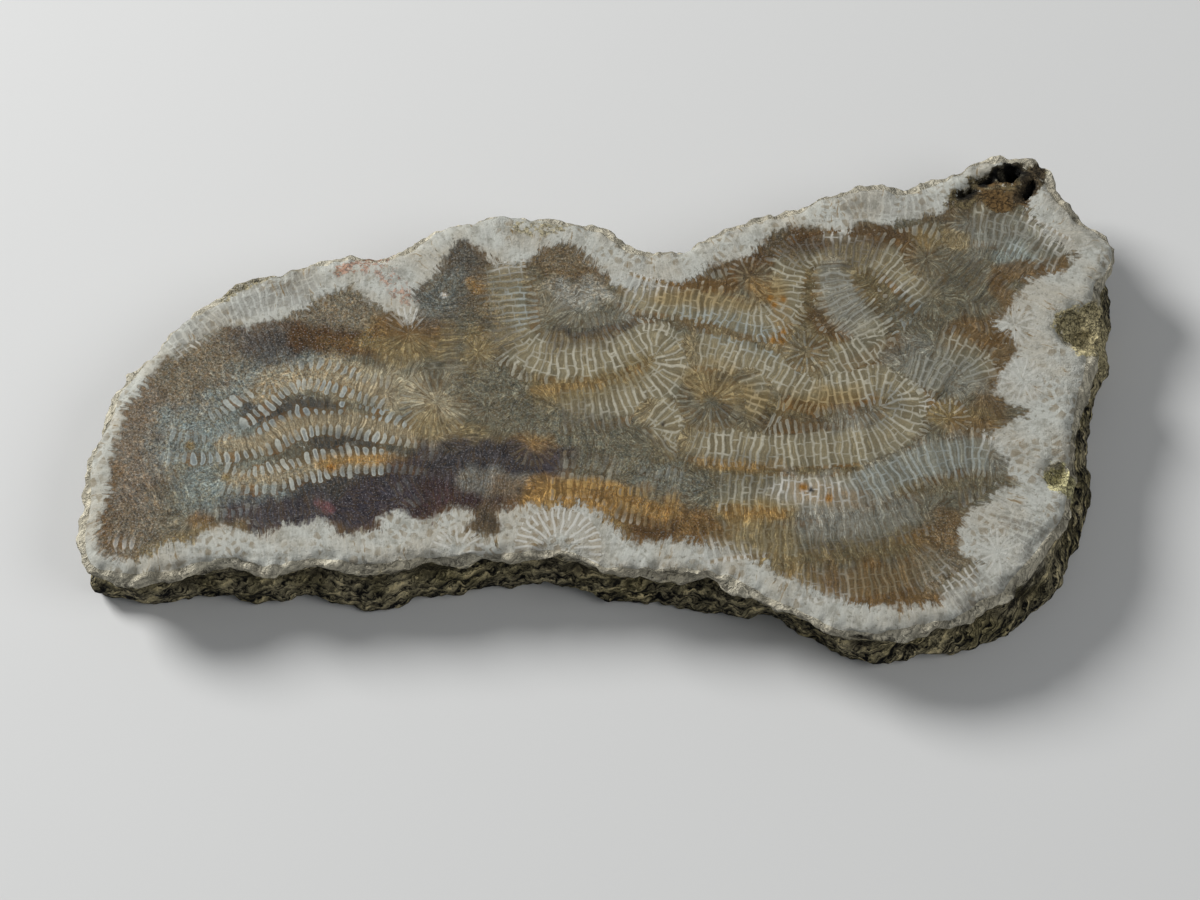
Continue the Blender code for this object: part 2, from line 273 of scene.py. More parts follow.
# Ground colour, painted stroke over stroke: tone, brush radius in millimetres, strength, line.
GROUND_STROKES = (
    ("granular", 8.0, 1.0, ((105, 530), (112, 480), (138, 440), (176, 400), (228, 368))),
    ("brown_grey", 6.0, 0.9, ((190, 375), (240, 345), (300, 325), (360, 320))),
    ("brown_grey", 5.0, 0.6, ((110, 545), (150, 535), (180, 545))),
    ("dark_brown", 3.0, 0.6, ((100, 505), (112, 510))),
    ("grey_blue", 6.5, 0.85, ((190, 440), (230, 430), (215, 480), (280, 500))),
    ("grey_blue", 4.5, 0.7, ((235, 400), (262, 380), (300, 360))),
    ("deep_grey", 2.6, 0.75, ((250, 414), (285, 407), (325, 412))),
    ("deep_grey", 2.4, 0.7, ((285, 450), (330, 443), (365, 446))),
    ("olive_grey", 2.6, 0.7, ((230, 462), (262, 455), (290, 450))),
    ("deep_grey", 3.6, 0.9, ((300, 488), (340, 486), (390, 484), (430, 480))),
    ("purple", 3.4, 0.5, ((240, 334), (300, 338), (322, 334))),
    ("brown_grey", 3.0, 0.7, ((300, 322), (325, 322), (345, 318))),
    ("deep_grey", 3.0, 0.6, ((262, 350), (295, 342))),
    ("deep_rust", 2.6, 1.0, ((300, 338), (330, 341), (360, 344), (374, 346))),
    ("line_brown", 1.6, 0.45, ((325, 343), (350, 346), (368, 348))),
    ("rust", 1.2, 0.2, ((340, 346), (365, 348))),
    ("cream", 3.6, 0.95, ((330, 376), (370, 382), (410, 394), (440, 410), (425, 440))),
    ("tan", 2.4, 0.9, ((262, 390), (300, 376), (340, 378), (380, 392))),
    ("tan", 1.8, 0.9, ((225, 448), (262, 440), (290, 426), (330, 420), (370, 424), (410, 434))),
    ("tan", 1.6, 0.9, ((232, 480), (262, 480), (300, 470), (340, 462), (390, 460))),
    ("orange", 1.2, 0.8, ((322, 464), (350, 459), (395, 460), (420, 464))),
    ("ochre", 3.8, 0.8, ((385, 340), (409, 345), (435, 340))),
    ("rust", 2.2, 0.8, ((385, 326), (410, 326), (430, 330))),
    ("ochre", 3.0, 0.7, ((425, 425), (445, 440), (470, 440), (500, 440))),
    ("cream", 2.6, 0.6, ((455, 380), (480, 385))),
    ("ochre", 2.4, 0.7, ((478, 335), (478, 372))),
    ("purple", 6.0, 0.45, ((425, 300), (455, 270), (470, 245))),
    ("grey_blue", 3.0, 0.35, ((425, 305), (452, 285))),
    ("dark_brown", 3.2, 0.6, ((480, 300), (490, 270), (485, 315))),
    ("orange", 1.2, 0.5, ((470, 284), (478, 288))),
    ("olive_brown", 4.6, 0.5, ((530, 300), (560, 290), (600, 300))),
    ("dark_brown", 5.0, 0.6, ((545, 255), (570, 258), (590, 265))),
    ("rust", 3.0, 0.4, ((540, 262), (568, 266), (600, 280))),
    ("brown_grey", 4.0, 0.5, ((550, 251), (576, 256))),
    ("warm_grey", 4.5, 0.7, ((545, 305), (580, 305), (620, 312))),
    ("pale_grey", 4.4, 1.0, ((582, 300), (604, 306), (624, 314))),
    ("olive_grey", 3.4, 0.8, ((560, 325), (590, 325), (612, 322))),
    ("deep_grey", 2.0, 0.7, ((562, 337), (590, 340), (620, 332), (650, 326))),
    ("rust", 2.2, 0.6, ((690, 318), (720, 330), (745, 340))),
    ("cell_brown", 3.6, 0.9, (
        (506, 280), (508, 325), (530, 352), (580, 360), (620, 352), (655, 345), (670, 362), (640, 394),
        (600, 403), (560, 408))),
    ("olive_grey", 3.4, 0.85, ((470, 385), (495, 380), (520, 400), (500, 420), (540, 425))),
    ("ochre", 2.2, 0.8, ((540, 389), (580, 386), (615, 376), (640, 364))),
    ("orange", 1.0, 0.35, ((535, 390), (570, 388), (600, 384))),
    ("olive_grey", 4.0, 0.9, ((560, 435), (590, 440), (625, 445), (600, 425))),
    ("orange", 2.4, 0.75, ((522, 448), (534, 446), (545, 450))),
    ("cell_brown", 3.8, 0.9, (
        (690, 440), (740, 446), (800, 450), (860, 446), (895, 430), (905, 405), (890, 386), (850, 386),
        (810, 384), (770, 368), (730, 356), (696, 350))),
    ("cell_brown", 3.6, 0.8, ((640, 400), (665, 415), (670, 440))),
    ("olive_grey", 2.8, 0.95, ((706, 403), (722, 407), (736, 406))),
    ("dark_brown", 1.6, 0.6, ((708, 390), (718, 382))),
    ("ochre", 2.6, 0.7, ((725, 385), (738, 392), (700, 382))),
    ("olive_brown", 2.8, 0.85, ((765, 408), (800, 414), (835, 412))),
    ("rust", 1.2, 0.85, ((790, 402), (815, 406), (845, 402), (872, 398))),
    ("dark_brown", 2.0, 0.8, ((770, 424), (800, 430), (820, 428))),
    ("grey", 2.6, 0.6, ((840, 420), (865, 418))),
    ("cell_brown", 3.2, 0.85, (
        (630, 292), (680, 302), (730, 314), (770, 320), (786, 300), (790, 272), (820, 250), (870, 254),
        (905, 272), (925, 292))),
    ("rust", 1.6, 0.85, ((650, 282), (690, 288), (730, 284))),
    ("orange", 1.6, 0.6, ((752, 284), (772, 296), (782, 312), (782, 335))),
    ("dark_brown", 4.0, 0.85, ((765, 252), (785, 240), (805, 236))),
    ("deep_rust", 2.6, 0.6, ((735, 268), (720, 268), (750, 262))),
    ("deep_rust", 2.0, 0.8, ((800, 240), (840, 236), (880, 234), (915, 240))),
    ("rust", 1.8, 0.6, ((905, 250), (925, 262), (945, 252))),
    ("olive_brown", 3.0, 0.85, ((806, 270), (808, 300), (812, 325), (835, 338))),
    ("deep_rust", 1.6, 0.7, ((815, 318), (835, 336), (845, 334))),
    ("pale_grey", 3.2, 0.85, ((836, 275), (842, 300), (856, 320))),
    ("olive_brown", 2.6, 0.85, ((856, 272), (875, 292), (895, 304))),
    ("deep_grey", 4.0, 0.5, ((908, 320), (930, 325), (915, 335))),
    ("olive_grey", 5.0, 0.8, ((905, 318), (925, 328), (940, 320))),
    ("rust", 1.8, 0.7, ((852, 366), (875, 354), (895, 346))),
    ("cell_brown", 3.6, 0.6, ((810, 360), (790, 352), (770, 345))),
    ("olive_grey", 6.0, 0.9, ((950, 260), (965, 285), (985, 300))),
    ("grey", 4.0, 0.8, ((965, 235), (1000, 232), (1035, 245))),
    ("grey_blue", 2.6, 0.8, ((1008, 254), (1025, 260))),
    ("ochre", 2.0, 0.7, ((925, 240), (945, 236), (960, 244))),
    ("rust", 2.0, 0.75, ((1000, 276), (1030, 270), (1062, 265))),
    ("rust", 2.2, 0.6, ((1003, 292), (1015, 300))),
    ("dark_brown", 4.4, 0.85, ((948, 204), (975, 196), (1005, 188))),
    ("rust", 3.0, 0.7, ((960, 340), (985, 330), (1005, 330))),
    ("rust", 3.0, 0.6, ((1000, 350), (998, 370), (985, 405), (1000, 425))),
    ("grey", 4.0, 0.75, ((910, 360), (935, 370), (960, 378))),
    ("olive_brown", 3.6, 0.75, ((955, 425), (985, 430), (1005, 445))),
    ("ochre", 2.4, 0.7, ((940, 412), (958, 418))),
    ("rust", 2.4, 0.6, ((962, 430), (985, 432))),
    ("olive_brown", 2.6, 0.85, ((660, 465), (700, 472), (745, 474), (790, 472), (830, 473), (865, 466))),
    ("orange", 1.1, 0.55, ((700, 462), (740, 466), (780, 466))),
    ("olive_grey", 5.2, 0.85, ((590, 458), (630, 475), (680, 488), (700, 500))),
    ("grey_blue", 3.0, 0.25, ((650, 476), (690, 482))),
    ("pale_grey", 3.4, 0.8, ((790, 492), (830, 494), (870, 488))),
    ("grey", 4.2, 0.85, ((890, 476), (925, 462), (965, 454), (990, 458))),
    ("amber", 2.0, 0.5, ((800, 490), (835, 500), (860, 500))),
    ("ochre", 2.2, 0.85, ((725, 512), (755, 510), (785, 512))),
    ("orange", 1.3, 0.75, ((730, 514), (760, 512), (782, 515))),
    ("ochre", 3.4, 0.7, ((700, 535), (740, 540), (780, 540))),
    ("grey", 3.4, 0.8, ((815, 522), (860, 520), (900, 508), (930, 500))),
    ("pale_grey", 2.6, 0.5, ((815, 520), (850, 520))),
    ("olive_brown", 1.8, 0.7, ((905, 488), (940, 486), (985, 483))),
    ("olive_grey", 3.2, 0.8, ((935, 510), (965, 500), (1000, 490))),
    ("olive_brown", 2.6, 0.85, ((800, 560), (840, 556), (880, 552), (920, 540))),
    ("rust", 3.4, 0.6, ((930, 545), (950, 525), (960, 540))),
    ("brown_grey", 3.6, 0.7, ((935, 570), (955, 575))),
    ("rust", 3.4, 0.8, ((800, 584), (850, 585), (900, 580))),
    ("rust", 2.4, 0.75, ((790, 590), (830, 602), (880, 606), (935, 604))),
    ("ochre", 2.0, 0.6, ((770, 560), (790, 570), (810, 585))),
    ("purple", 5.0, 0.95, ((420, 468), (460, 465), (500, 465), (540, 470))),
    ("deep_grey", 3.0, 0.5, ((440, 460), (480, 455), (520, 460))),
    ("maroon", 4.6, 0.95, ((370, 512), (420, 508), (460, 503), (505, 498))),
    ("purple", 4.6, 0.95, ((240, 522), (300, 520), (350, 515), (390, 500))),
    ("pink", 0.9, 0.6, ((320, 504), (328, 508))),
    ("grey", 2.4, 0.6, ((470, 482), (500, 480), (520, 484))),
    ("dark_brown", 3.2, 0.8, ((470, 525), (490, 518), (505, 522))),
    ("orange", 2.4, 0.85, ((538, 493), (560, 490), (590, 491), (620, 497))),
    ("rust", 2.4, 0.5, ((508, 484), (525, 490), (518, 502))),
    ("rust", 4.0, 0.9, ((580, 512), (620, 520), (665, 526), (705, 532))),
    ("orange", 1.8, 0.7, ((530, 504), (560, 500), (595, 506), (615, 520))),
    ("deep_rust", 2.4, 0.6, ((630, 524), (665, 530))),
    ("orange", 1.6, 0.65, ((620, 502), (650, 508), (675, 512))),
    ("ochre", 3.0, 0.6, ((540, 520), (580, 526), (610, 532))),
    ("rust", 1.4, 0.8, ((196, 522), (208, 522))),
    ("ochre", 2.2, 0.6, ((150, 555), (190, 540), (240, 532))),
    ("rust", 1.4, 0.5, ((110, 545), (100, 520), (112, 470))),
)

# Colour of the septa, with how plainly they stand out: tone, radius, contrast, line.
SEPTA_STROKES = (
    ("dim", 14.0, 0.25, ((100, 540), (120, 470), (170, 400), (250, 350), (330, 330))),
    ("blue_white", 6.0, 0.75, ((195, 450), (240, 430), (290, 400), (340, 380))),
    ("leaf", 3.2, 0.8, ((215, 425), (250, 410), (290, 392), (320, 388))),
    ("blue_white", 4.0, 0.9, ((330, 400), (370, 410), (410, 420))),
    ("leaf", 3.0, 0.85, ((235, 458), (280, 444), (330, 430), (370, 440))),
    ("leaf", 3.2, 0.85, ((235, 485), (280, 482), (330, 470), (390, 466))),
    ("blue_white", 3.0, 0.6, ((400, 470), (430, 475), (420, 490))),
    ("cream", 3.0, 0.8, ((425, 430), (440, 405), (460, 395))),
    ("orange_white", 4.0, 0.6, ((400, 345), (420, 345))),
    ("dim", 6.0, 0.35, ((430, 300), (455, 270), (485, 330))),
    ("dim", 3.0, 0.4, ((447, 310), (448, 375))),
    ("grey_white", 3.0, 0.5, ((506, 262), (508, 300))),
    ("dim", 6.0, 0.4, ((540, 255), (590, 265))),
    ("blue_white", 4.0, 0.6, ((530, 305), (570, 310), (610, 312))),
    ("dim", 4.0, 0.5, ((600, 325), (560, 330))),
    ("cream", 2.4, 0.75, ((560, 394), (600, 388), (640, 368))),
    ("dim", 5.0, 0.4, ((580, 435), (620, 450), (660, 478))),
    ("white", 2.2, 0.9, ((545, 436), (550, 442))),
    ("orange_white", 3.6, 0.8, ((700, 385), (725, 385), (740, 395))),
    ("grey_white", 2.6, 0.6, ((715, 412), (700, 420))),
    ("grey_white", 3.0, 0.75, ((845, 415), (875, 412), (890, 400))),
    ("orange_white", 2.2, 0.8, ((770, 402), (810, 400), (850, 396))),
    ("blue_white", 2.8, 0.7, ((690, 318), (735, 328), (800, 352))),
    ("orange_white", 2.0, 0.8, ((655, 290), (700, 298), (740, 300))),
    ("orange_white", 3.0, 0.7, ((750, 275), (768, 290))),
    ("dim", 4.0, 0.5, ((775, 245), (800, 238))),
    ("white", 2.4, 0.85, ((868, 284), (890, 296), (905, 306))),
    ("blue_white", 3.4, 0.7, ((900, 315), (930, 320), (955, 312))),
    ("grey_white", 3.4, 0.7, ((838, 275), (850, 310))),
    ("orange_white", 2.6, 0.6, ((925, 258), (940, 250))),
    ("grey_white", 5.0, 0.5, ((960, 240), (1010, 240), (1050, 252))),
    ("blue_white", 2.0, 0.8, ((1010, 254), (1026, 260))),
    ("dim", 6.0, 0.35, ((955, 280), (985, 300))),
    ("grey_white", 4.0, 0.7, ((915, 362), (945, 372), (975, 380))),
    ("white", 2.4, 0.9, ((940, 405), (958, 405))),
    ("grey_white", 3.0, 0.5, ((640, 460), (700, 470), (760, 472))),
    ("white", 2.8, 0.95, ((790, 492), (820, 494), (845, 494))),
    ("blue_white", 3.6, 0.6, ((870, 486), (920, 464), (970, 454), (1000, 456))),
    ("white", 1.8, 0.95, ((714, 517), (726, 516))),
    ("orange_white", 2.6, 0.85, ((735, 520), (770, 515), (790, 518))),
    ("grey_white", 3.4, 0.6, ((820, 520), (870, 518), (920, 502))),
    ("grey_white", 3.0, 0.4, ((810, 540), (860, 532), (920, 516))),
    ("dim", 3.6, 0.35, ((935, 510), (975, 500), (1000, 496))),
    ("dim", 3.0, 0.08, ((300, 340), (340, 343), (370, 346))),
    ("dim", 3.4, 0.55, ((835, 248), (865, 250))),
    ("cream", 3.4, 0.5, ((700, 545), (740, 542), (780, 541))),
    ("dim", 3.0, 0.5, ((820, 560), (870, 554), (920, 545))),
    ("cream", 2.8, 0.8, ((865, 582), (895, 578), (925, 570))),
    ("dim", 3.0, 0.4, ((790, 590), (830, 592))),
    ("honey", 2.8, 0.9, ((550, 488), (600, 492), (640, 500), (690, 510))),
    ("orange_white", 3.4, 0.7, ((525, 446), (545, 446))),
    ("orange_white", 2.4, 0.5, ((610, 515), (660, 522))),
    ("white", 3.8, 0.95, ((500, 535), (560, 530), (620, 538))),
    ("dim", 6.0, 0.45, ((430, 475), (480, 480), (450, 505))),
    ("white", 3.0, 0.9, ((430, 530), (455, 525), (480, 530))),
    ("white", 2.6, 0.9, ((106, 552), (130, 556), (145, 556))),
    ("blue_white", 1.8, 0.7, ((215, 522), (240, 520))),
    ("dim", 3.0, 0.4, ((270, 515), (330, 508))),
    ("white", 5.0, 0.7, ((180, 328), (230, 300), (290, 285), (330, 275))),
    ("white", 6.0, 0.75, ((945, 608), (1000, 570), (1030, 520))),
    ("white", 3.0, 0.6, ((840, 206), (900, 202), (935, 200))),
)

# How grainy the ground is, 0 to 1: amount, radius, line.
GRAIN_STROKES = (
    (1.0, 10.0, ((110, 540), (130, 470), (170, 420), (230, 360), (320, 325))),
    (0.8, 6.0, ((200, 480), (260, 500), (330, 490), (400, 490))),
    (0.9, 5.0, ((430, 300), (460, 260), (480, 310))),
    (0.8, 5.0, ((545, 260), (590, 270))),
    (0.7, 4.0, ((470, 390), (500, 385), (520, 420), (590, 440))),
    (0.7, 5.0, ((600, 465), (650, 480), (700, 495))),
    (0.4, 6.0, ((950, 270), (985, 300), (920, 325))),
    (0.8, 4.0, ((770, 250), (800, 240))),
    (0.7, 5.0, ((430, 470), (500, 470), (450, 510))),
    (0.8, 3.4, ((940, 530), (945, 575))),
    (0.6, 4.0, ((640, 520), (700, 530))),
)

# Inner edge of the white chalky rim, traced clockwise from the lower left.
RIM_EDGE = (
    (95, 545), (97, 530), (94, 515), (107, 500), (106, 480), (106, 465), (110, 450), (113, 435),
    (121, 425), (120, 412), (126, 402), (137, 390), (143, 380), (150, 370), (158, 360), (164, 352),
    (176, 348), (188, 343), (200, 338), (214, 330), (222, 321), (238, 323), (250, 324), (264, 320),
    (280, 317), (298, 310), (306, 300), (320, 293), (335, 288), (345, 284), (358, 282), (364, 291),
    (374, 299), (387, 307), (400, 315), (411, 321), (414, 310), (409, 299), (411, 289), (421, 280),
    (430, 275), (437, 265), (443, 254), (455, 238), (468, 236), (480, 246), (500, 262), (522, 262),
    (535, 252), (545, 243), (560, 240), (575, 240), (586, 249), (600, 263), (612, 275), (622, 284),
    (635, 288), (650, 285), (656, 278), (674, 280), (690, 275), (700, 270), (706, 262), (722, 258),
    (736, 255), (750, 250), (762, 238), (771, 230), (786, 225), (800, 223), (816, 222), (834, 230),
    (848, 230), (854, 219), (864, 216), (885, 221), (901, 218), (926, 212), (940, 208), (946, 200),
    (962, 190), (985, 184), (1005, 186), (1024, 200), (1038, 219), (1053, 238), (1068, 248),
    (1084, 254), (1070, 272), (1048, 279), (1031, 283), (1023, 298), (1014, 309), (1000, 322),
    (1016, 335), (1024, 350), (1012, 362), (1004, 374), (1000, 391), (1010, 400), (1033, 406),
    (1028, 419), (1002, 429), (991, 440), (1001, 451), (1014, 459), (1010, 470), (1020, 480),
    (1033, 489), (1002, 493), (986, 507), (971, 515), (965, 527), (965, 540), (961, 550), (979, 556),
    (984, 568), (974, 580), (960, 588), (948, 598), (939, 609), (920, 612), (890, 610), (860, 611),
    (840, 602), (820, 598), (800, 588), (777, 578), (761, 566), (742, 556), (720, 552), (700, 548),
    (685, 545), (655, 545), (640, 545), (622, 539), (611, 530), (600, 517), (586, 509), (568, 510),
    (550, 512), (531, 508), (516, 509), (501, 516), (506, 530), (512, 538), (492, 540), (470, 537),
    (464, 529), (468, 516), (456, 511), (448, 515), (440, 519), (430, 526), (419, 523), (405, 518),
    (394, 515), (383, 521), (379, 532), (360, 536), (352, 540), (341, 537), (335, 528), (320, 523),
    (300, 527), (284, 532), (262, 539), (240, 533), (225, 530), (212, 533), (200, 540), (193, 546),
    (175, 548), (160, 552), (140, 562), (118, 564), (101, 559),
)

# Stains over rim and wall alike, and the painted shadow inside the corner hollow: tone, radius, strength,
# line.
STAINS_AND_SHADOW = (
    ("blush", 2.2, 0.38, ((372, 262), (392, 280), (410, 296))),
    ("blush", 1.6, 0.45, ((340, 270), (362, 262), (385, 252))),
    ("limestone", 1.6, 0.5, ((225, 292), (265, 272), (300, 262))),
    ("limestone", 1.8, 0.5, ((520, 228), (560, 226))),
    ("line_rust", 1.1, 0.45, ((88, 395), (100, 372))),
    ("olive_brown", 2.4, 0.6, ((958, 203), (968, 199))),
    ("olive_brown", 3.4, 0.8, ((985, 190), (1005, 188))),
    ("rust", 2.4, 0.85, ((990, 196), (1008, 198), (1020, 196))),
    ("limestone", 1.0, 0.8, ((990, 184), (1000, 180))),
    ("olive_brown", 2.4, 0.8, ((1012, 180), (1026, 176))),
    ("dark_brown", 1.6, 0.9, ((1038, 170), (1030, 186), (1018, 198))),
    # Painted shadow: near-black inside the deep corner hollow, where the hole lies in shade.
    ("hollow_shadow", 1.7, 1.0, ((1000, 172), (1010, 168), (1018, 170))),
    ("hollow_shadow", 0.9, 1.0, ((984, 182), (992, 178))),
    ("hollow_shadow", 1.0, 0.9, ((964, 194), (974, 191))),
    ("hollow_shadow", 0.8, 0.9, ((1032, 184), (1026, 192))),
    ("warm_grey", 0.5, 0.8, ((1003, 166), (1010, 175), (1019, 173))),
    ("rust", 0.6, 0.8, ((992, 184), (1003, 180), (1014, 182))),
    ("lump", 3.8, 0.95, ((1078, 324), (1090, 340), (1100, 318))),
    ("moss", 2.2, 0.95, ((1056, 474), (1063, 478))),
)

# Small dark holes and resin-coloured cells: tone, radius, place.
SPOTS = (
    ("amber", 0.9, (331, 468)), ("deep_rust", 0.45, (331, 469)),
    ("amber", 0.8, (803, 487)), ("deep_grey", 0.5, (811, 490)), ("amber", 0.7, (829, 498)),
    ("amber", 0.6, (770, 298)), ("amber", 0.6, (783, 299)), ("amber", 0.6, (774, 305)),
    ("amber", 0.5, (783, 332)), ("amber", 0.6, (773, 340)), ("amber", 0.6, (782, 341)),
    ("deep_rust", 0.5, (519, 226)), ("deep_rust", 0.4, (526, 226)), ("deep_rust", 0.4, (549, 227)),
    ("deep_rust", 0.5, (902, 209)), ("deep_rust", 0.4, (1064, 242)), ("deep_rust", 0.4, (329, 553)),
    ("deep_rust", 0.45, (291, 277)), ("deep_grey", 0.4, (663, 424)), ("ochre", 0.9, (190, 446)),
    ("white", 0.55, (444, 295)), ("ochre", 0.7, (226, 477)),
)


def on_face(points):
    """Millimetre places on the slab's face of points of the camera's picture."""
    points = np.asarray(points, float).reshape(-1, 2)
    focal = LENS_LENGTH / SENSOR_WIDTH * PICTURE_WIDTH
    sine, cosine = math.sin(CAMERA_ELEVATION), math.cos(CAMERA_ELEVATION)
    right = (points[:, 0] - PICTURE_CENTRE[0]) / focal
    up = (PICTURE_CENTRE[1] - points[:, 1]) / focal
    reach = CAMERA_DISTANCE * sine / (sine - up * cosine)
    across = AIM_POINT[0] + reach * right
    deep = AIM_POINT[1] - CAMERA_DISTANCE * cosine + reach * (cosine + up * sine)
    return np.stack((across, deep), axis=1)


# ---------------------------------------------------------------- building the mesh


def deselect_all():
    for thing in bpy.context.selected_objects:
        thing.select_set(False)


def select_only(piece):
    deselect_all()
    piece.select_set(True)
    bpy.context.view_layer.objects.active = piece


def slab_copy():
    """A working copy of the CAD slab, active and selected, with its loose triangles joined."""
    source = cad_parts["coral_slab"]
    piece = bpy.data.objects.new("coral_slab_stone", source.data.copy())
    bpy.context.scene.collection.objects.link(piece)
    select_only(piece)
    piece.data.materials.clear()
    bpy.ops.object.mode_set(mode="EDIT")
    bpy.ops.mesh.select_all(action="SELECT")
    bpy.ops.mesh.remove_doubles(threshold=JOIN_DISTANCE * MM)
    bpy.ops.object.mode_set(mode="OBJECT")
    return piece


def mark_parts(piece):
    """Gives every face of the slab the slot of its material; faces made from it keep the slot."""
    for polygon in piece.data.polygons:
        flat = abs(polygon.normal.z) > FLAT_NORMAL
        if flat and polygon.center.z > (FACE_LEVEL - FLAT_SLACK) * MM:
            polygon.material_index = FACE_SLOT
        elif flat and polygon.center.z < FLAT_SLACK * MM:
            polygon.material_index = BACK_SLOT
        else:
            polygon.material_index = WALL_SLOT


def select_slot(piece, slot):
    """Selects the faces of one slot, in edit mode."""
    bpy.ops.mesh.select_mode(type="FACE")
    mesh = bmesh.from_edit_mesh(piece.data)
    for face in mesh.faces:
        face.select_set(False)
    for face in mesh.faces:
        if face.material_index == slot:
            face.select_set(True)
    bmesh.update_edit_mesh(piece.data)


def corners_of(mesh, slot):
    """The corners that faces of a slot touch."""
    faces = (polygon for polygon in mesh.polygons if polygon.material_index == slot)
    return {index for polygon in faces for index in polygon.vertices}


def places_of(mesh):
    """The mesh's points in millimetres."""
    return np.array([vertex.co for vertex in mesh.vertices]) / MM


def corners_and_faces(mesh):
    """For each corner of each face, its point and its face."""
    corner = np.array([loop.vertex_index for loop in mesh.loops])
    face = np.repeat(np.arange(len(mesh.polygons)), [polygon.loop_total for polygon in mesh.polygons])
    return corner, face


def flat_tree(places):
    """A tree that finds the nearest of some places, heights left out."""
    tree = kdtree.KDTree(len(places))
    for index, place in enumerate(places):
        tree.insert((place[0], place[1], 0.0), index)
    tree.balance()
    return tree


def add_uv(mesh, name, values):
    layer = mesh.uv_layers.new(name=name)
    layer.data.foreach_set("uv", np.asarray(values, np.float32).ravel())


def add_colour(mesh, name, values):
    layer = mesh.attributes.new(name, "FLOAT_COLOR", "POINT")
    layer.data.foreach_set("color", np.asarray(values, np.float32).ravel())


def add_value(mesh, name, values):
    layer = mesh.attributes.new(name, "FLOAT", "POINT")
    layer.data.foreach_set("value", np.asarray(values, np.float32))


def rim_loops(mesh):
    """Runs of corners along which the polished face meets the wall, the longest first."""
    slots = {}
    for polygon in mesh.polygons:
        for key in polygon.edge_keys:
            slots.setdefault(key, set()).add(polygon.material_index)
    links = {}
    for (first, second), kinds in slots.items():
        if kinds == {FACE_SLOT, WALL_SLOT}:
            links.setdefault(first, []).append(second)
            links.setdefault(second, []).append(first)
    loops = []
    while links:
        loop = [next(iter(links))]
        while links[loop[-1]]:
            onward = links[loop[-1]].pop()
            links[onward].remove(loop[-1])
            loop.append(onward)
        links = {index: ends for index, ends in links.items() if ends}
        loops.append(loop)
    return sorted(loops, key=len, reverse=True)


def refine_wall(piece):
    """Turns both flats into single faces and divides the wall between them."""
    bpy.ops.object.mode_set(mode="EDIT")
    for slot in (FACE_SLOT, BACK_SLOT):
        select_slot(piece, slot)
        bpy.ops.mesh.dissolve_faces()
    select_slot(piece, WALL_SLOT)
    bpy.ops.mesh.tris_convert_to_quads(face_threshold=QUAD_ANGLE, shape_threshold=QUAD_ANGLE)
    bpy.ops.mesh.subdivide(number_cuts=WALL_CUTS, smoothness=WALL_ROUNDNESS)
    bpy.ops.object.mode_set(mode="OBJECT")


def lattice(low, high):
    """Evenly spaced points, every other row shifted by half a step."""
    rows = np.arange(low[1], high[1], FACE_CELL * math.sqrt(0.75))
    columns = np.arange(low[0], high[0], FACE_CELL)
    grid_x, grid_y = np.meshgrid(columns, rows)
    grid_x[1::2] += FACE_CELL / 2
    return np.stack((grid_x.ravel(), grid_y.ravel()), axis=1)


def clear_of(points, places, gap):
    """The points that are more than gap from all of the places."""
    tree = flat_tree(places)
    return points[[tree.find((point[0], point[1], 0.0))[2] > gap for point in points]]


def within(points, starts, ends):
    """Whether each point is inside the region that the edges bound, holes left out."""
    inside = np.zeros(len(points), bool)
    for (start_x, start_y), (end_x, end_y) in zip(starts, ends):
        spans = (start_y > points[:, 1]) != (end_y > points[:, 1])
        if spans.any():
            crossing = start_x + (end_x - start_x) * (points[:, 1] - start_y) / (end_y - start_y)
            inside ^= spans & (points[:, 0] < crossing)
    return inside


def fill_face(piece):
    """Replaces the polished face by small even triangles, which carry its pattern."""
    mesh = bmesh.new()
    mesh.from_mesh(piece.data)
    top = [face for face in mesh.faces if face.material_index == FACE_SLOT]
    region = set(top)
    edges = (edge for face in top for edge in face.edges)
    rim = [edge for edge in edges if sum(side in region for side in edge.link_faces) == 1]
    corners = list(dict.fromkeys(corner for edge in rim for corner in edge.verts))
    index_of = {corner: index for index, corner in enumerate(corners)}
    places = np.array([corner.co[:2] for corner in corners]) / MM
    links = [tuple(index_of[corner] for corner in edge.verts) for edge in rim]
    starts, ends = places[[link[0] for link in links]], places[[link[1] for link in links]]
    inner = clear_of(lattice(places.min(axis=0), places.max(axis=0)), places, FACE_CELL * FACE_CLEARANCE)
    everything = np.concatenate((places, inner))
    filled = geometry.delaunay_2d_cdt(everything.tolist(), links, [], INSIDE, 1e-5)
    triangles = np.array(filled[2])
    middles = np.array(filled[0])[triangles].mean(axis=1)
    triangles = triangles[within(middles, starts, ends)]
    bmesh.ops.delete(mesh, geom=top, context="FACES")
    made = {}
    for triangle in triangles.tolist():
        for index in triangle:
            if index not in made:
                known = [original for original in filled[3][index] if original < len(corners)]
                place = (*(filled[0][index] * MM), FACE_LEVEL * MM)
                made[index] = corners[known[0]] if known else mesh.verts.new(place)
        mesh.faces.new([made[index] for index in triangle]).material_index = FACE_SLOT
    mesh.to_mesh(piece.data)
    mesh.free()


# ---------------------------------------------------------------- roughening the wall
LUMP_SIZE = 4.2
LUMP_DEPTH = 0.55
LUMP_ROUGHNESS = (1.0, 2.1, 3)
PIT_SIZE = 2.3
PIT_DEPTH = 0.75
PIT_MIDDLE = 0.45
GRIT_SIZE = 0.9
GRIT_DEPTH = 0.22
LEDGE_RUN = 7.0
LEDGE_SIZE = 1.7
LEDGE_DEPTH = 0.55
WAIST_LEVEL = 7.6
WAIST_HALF = 3.2
WAIST_DEPTH = 0.6
TOOTH_DEPTH = 0.4
MOST_IN = -1.5
MOST_OUT = 0.9
TOOTH_SIZE = 1.1
TOOTH_EXTRA = 0.2
MOST_TOOTH = 0.35
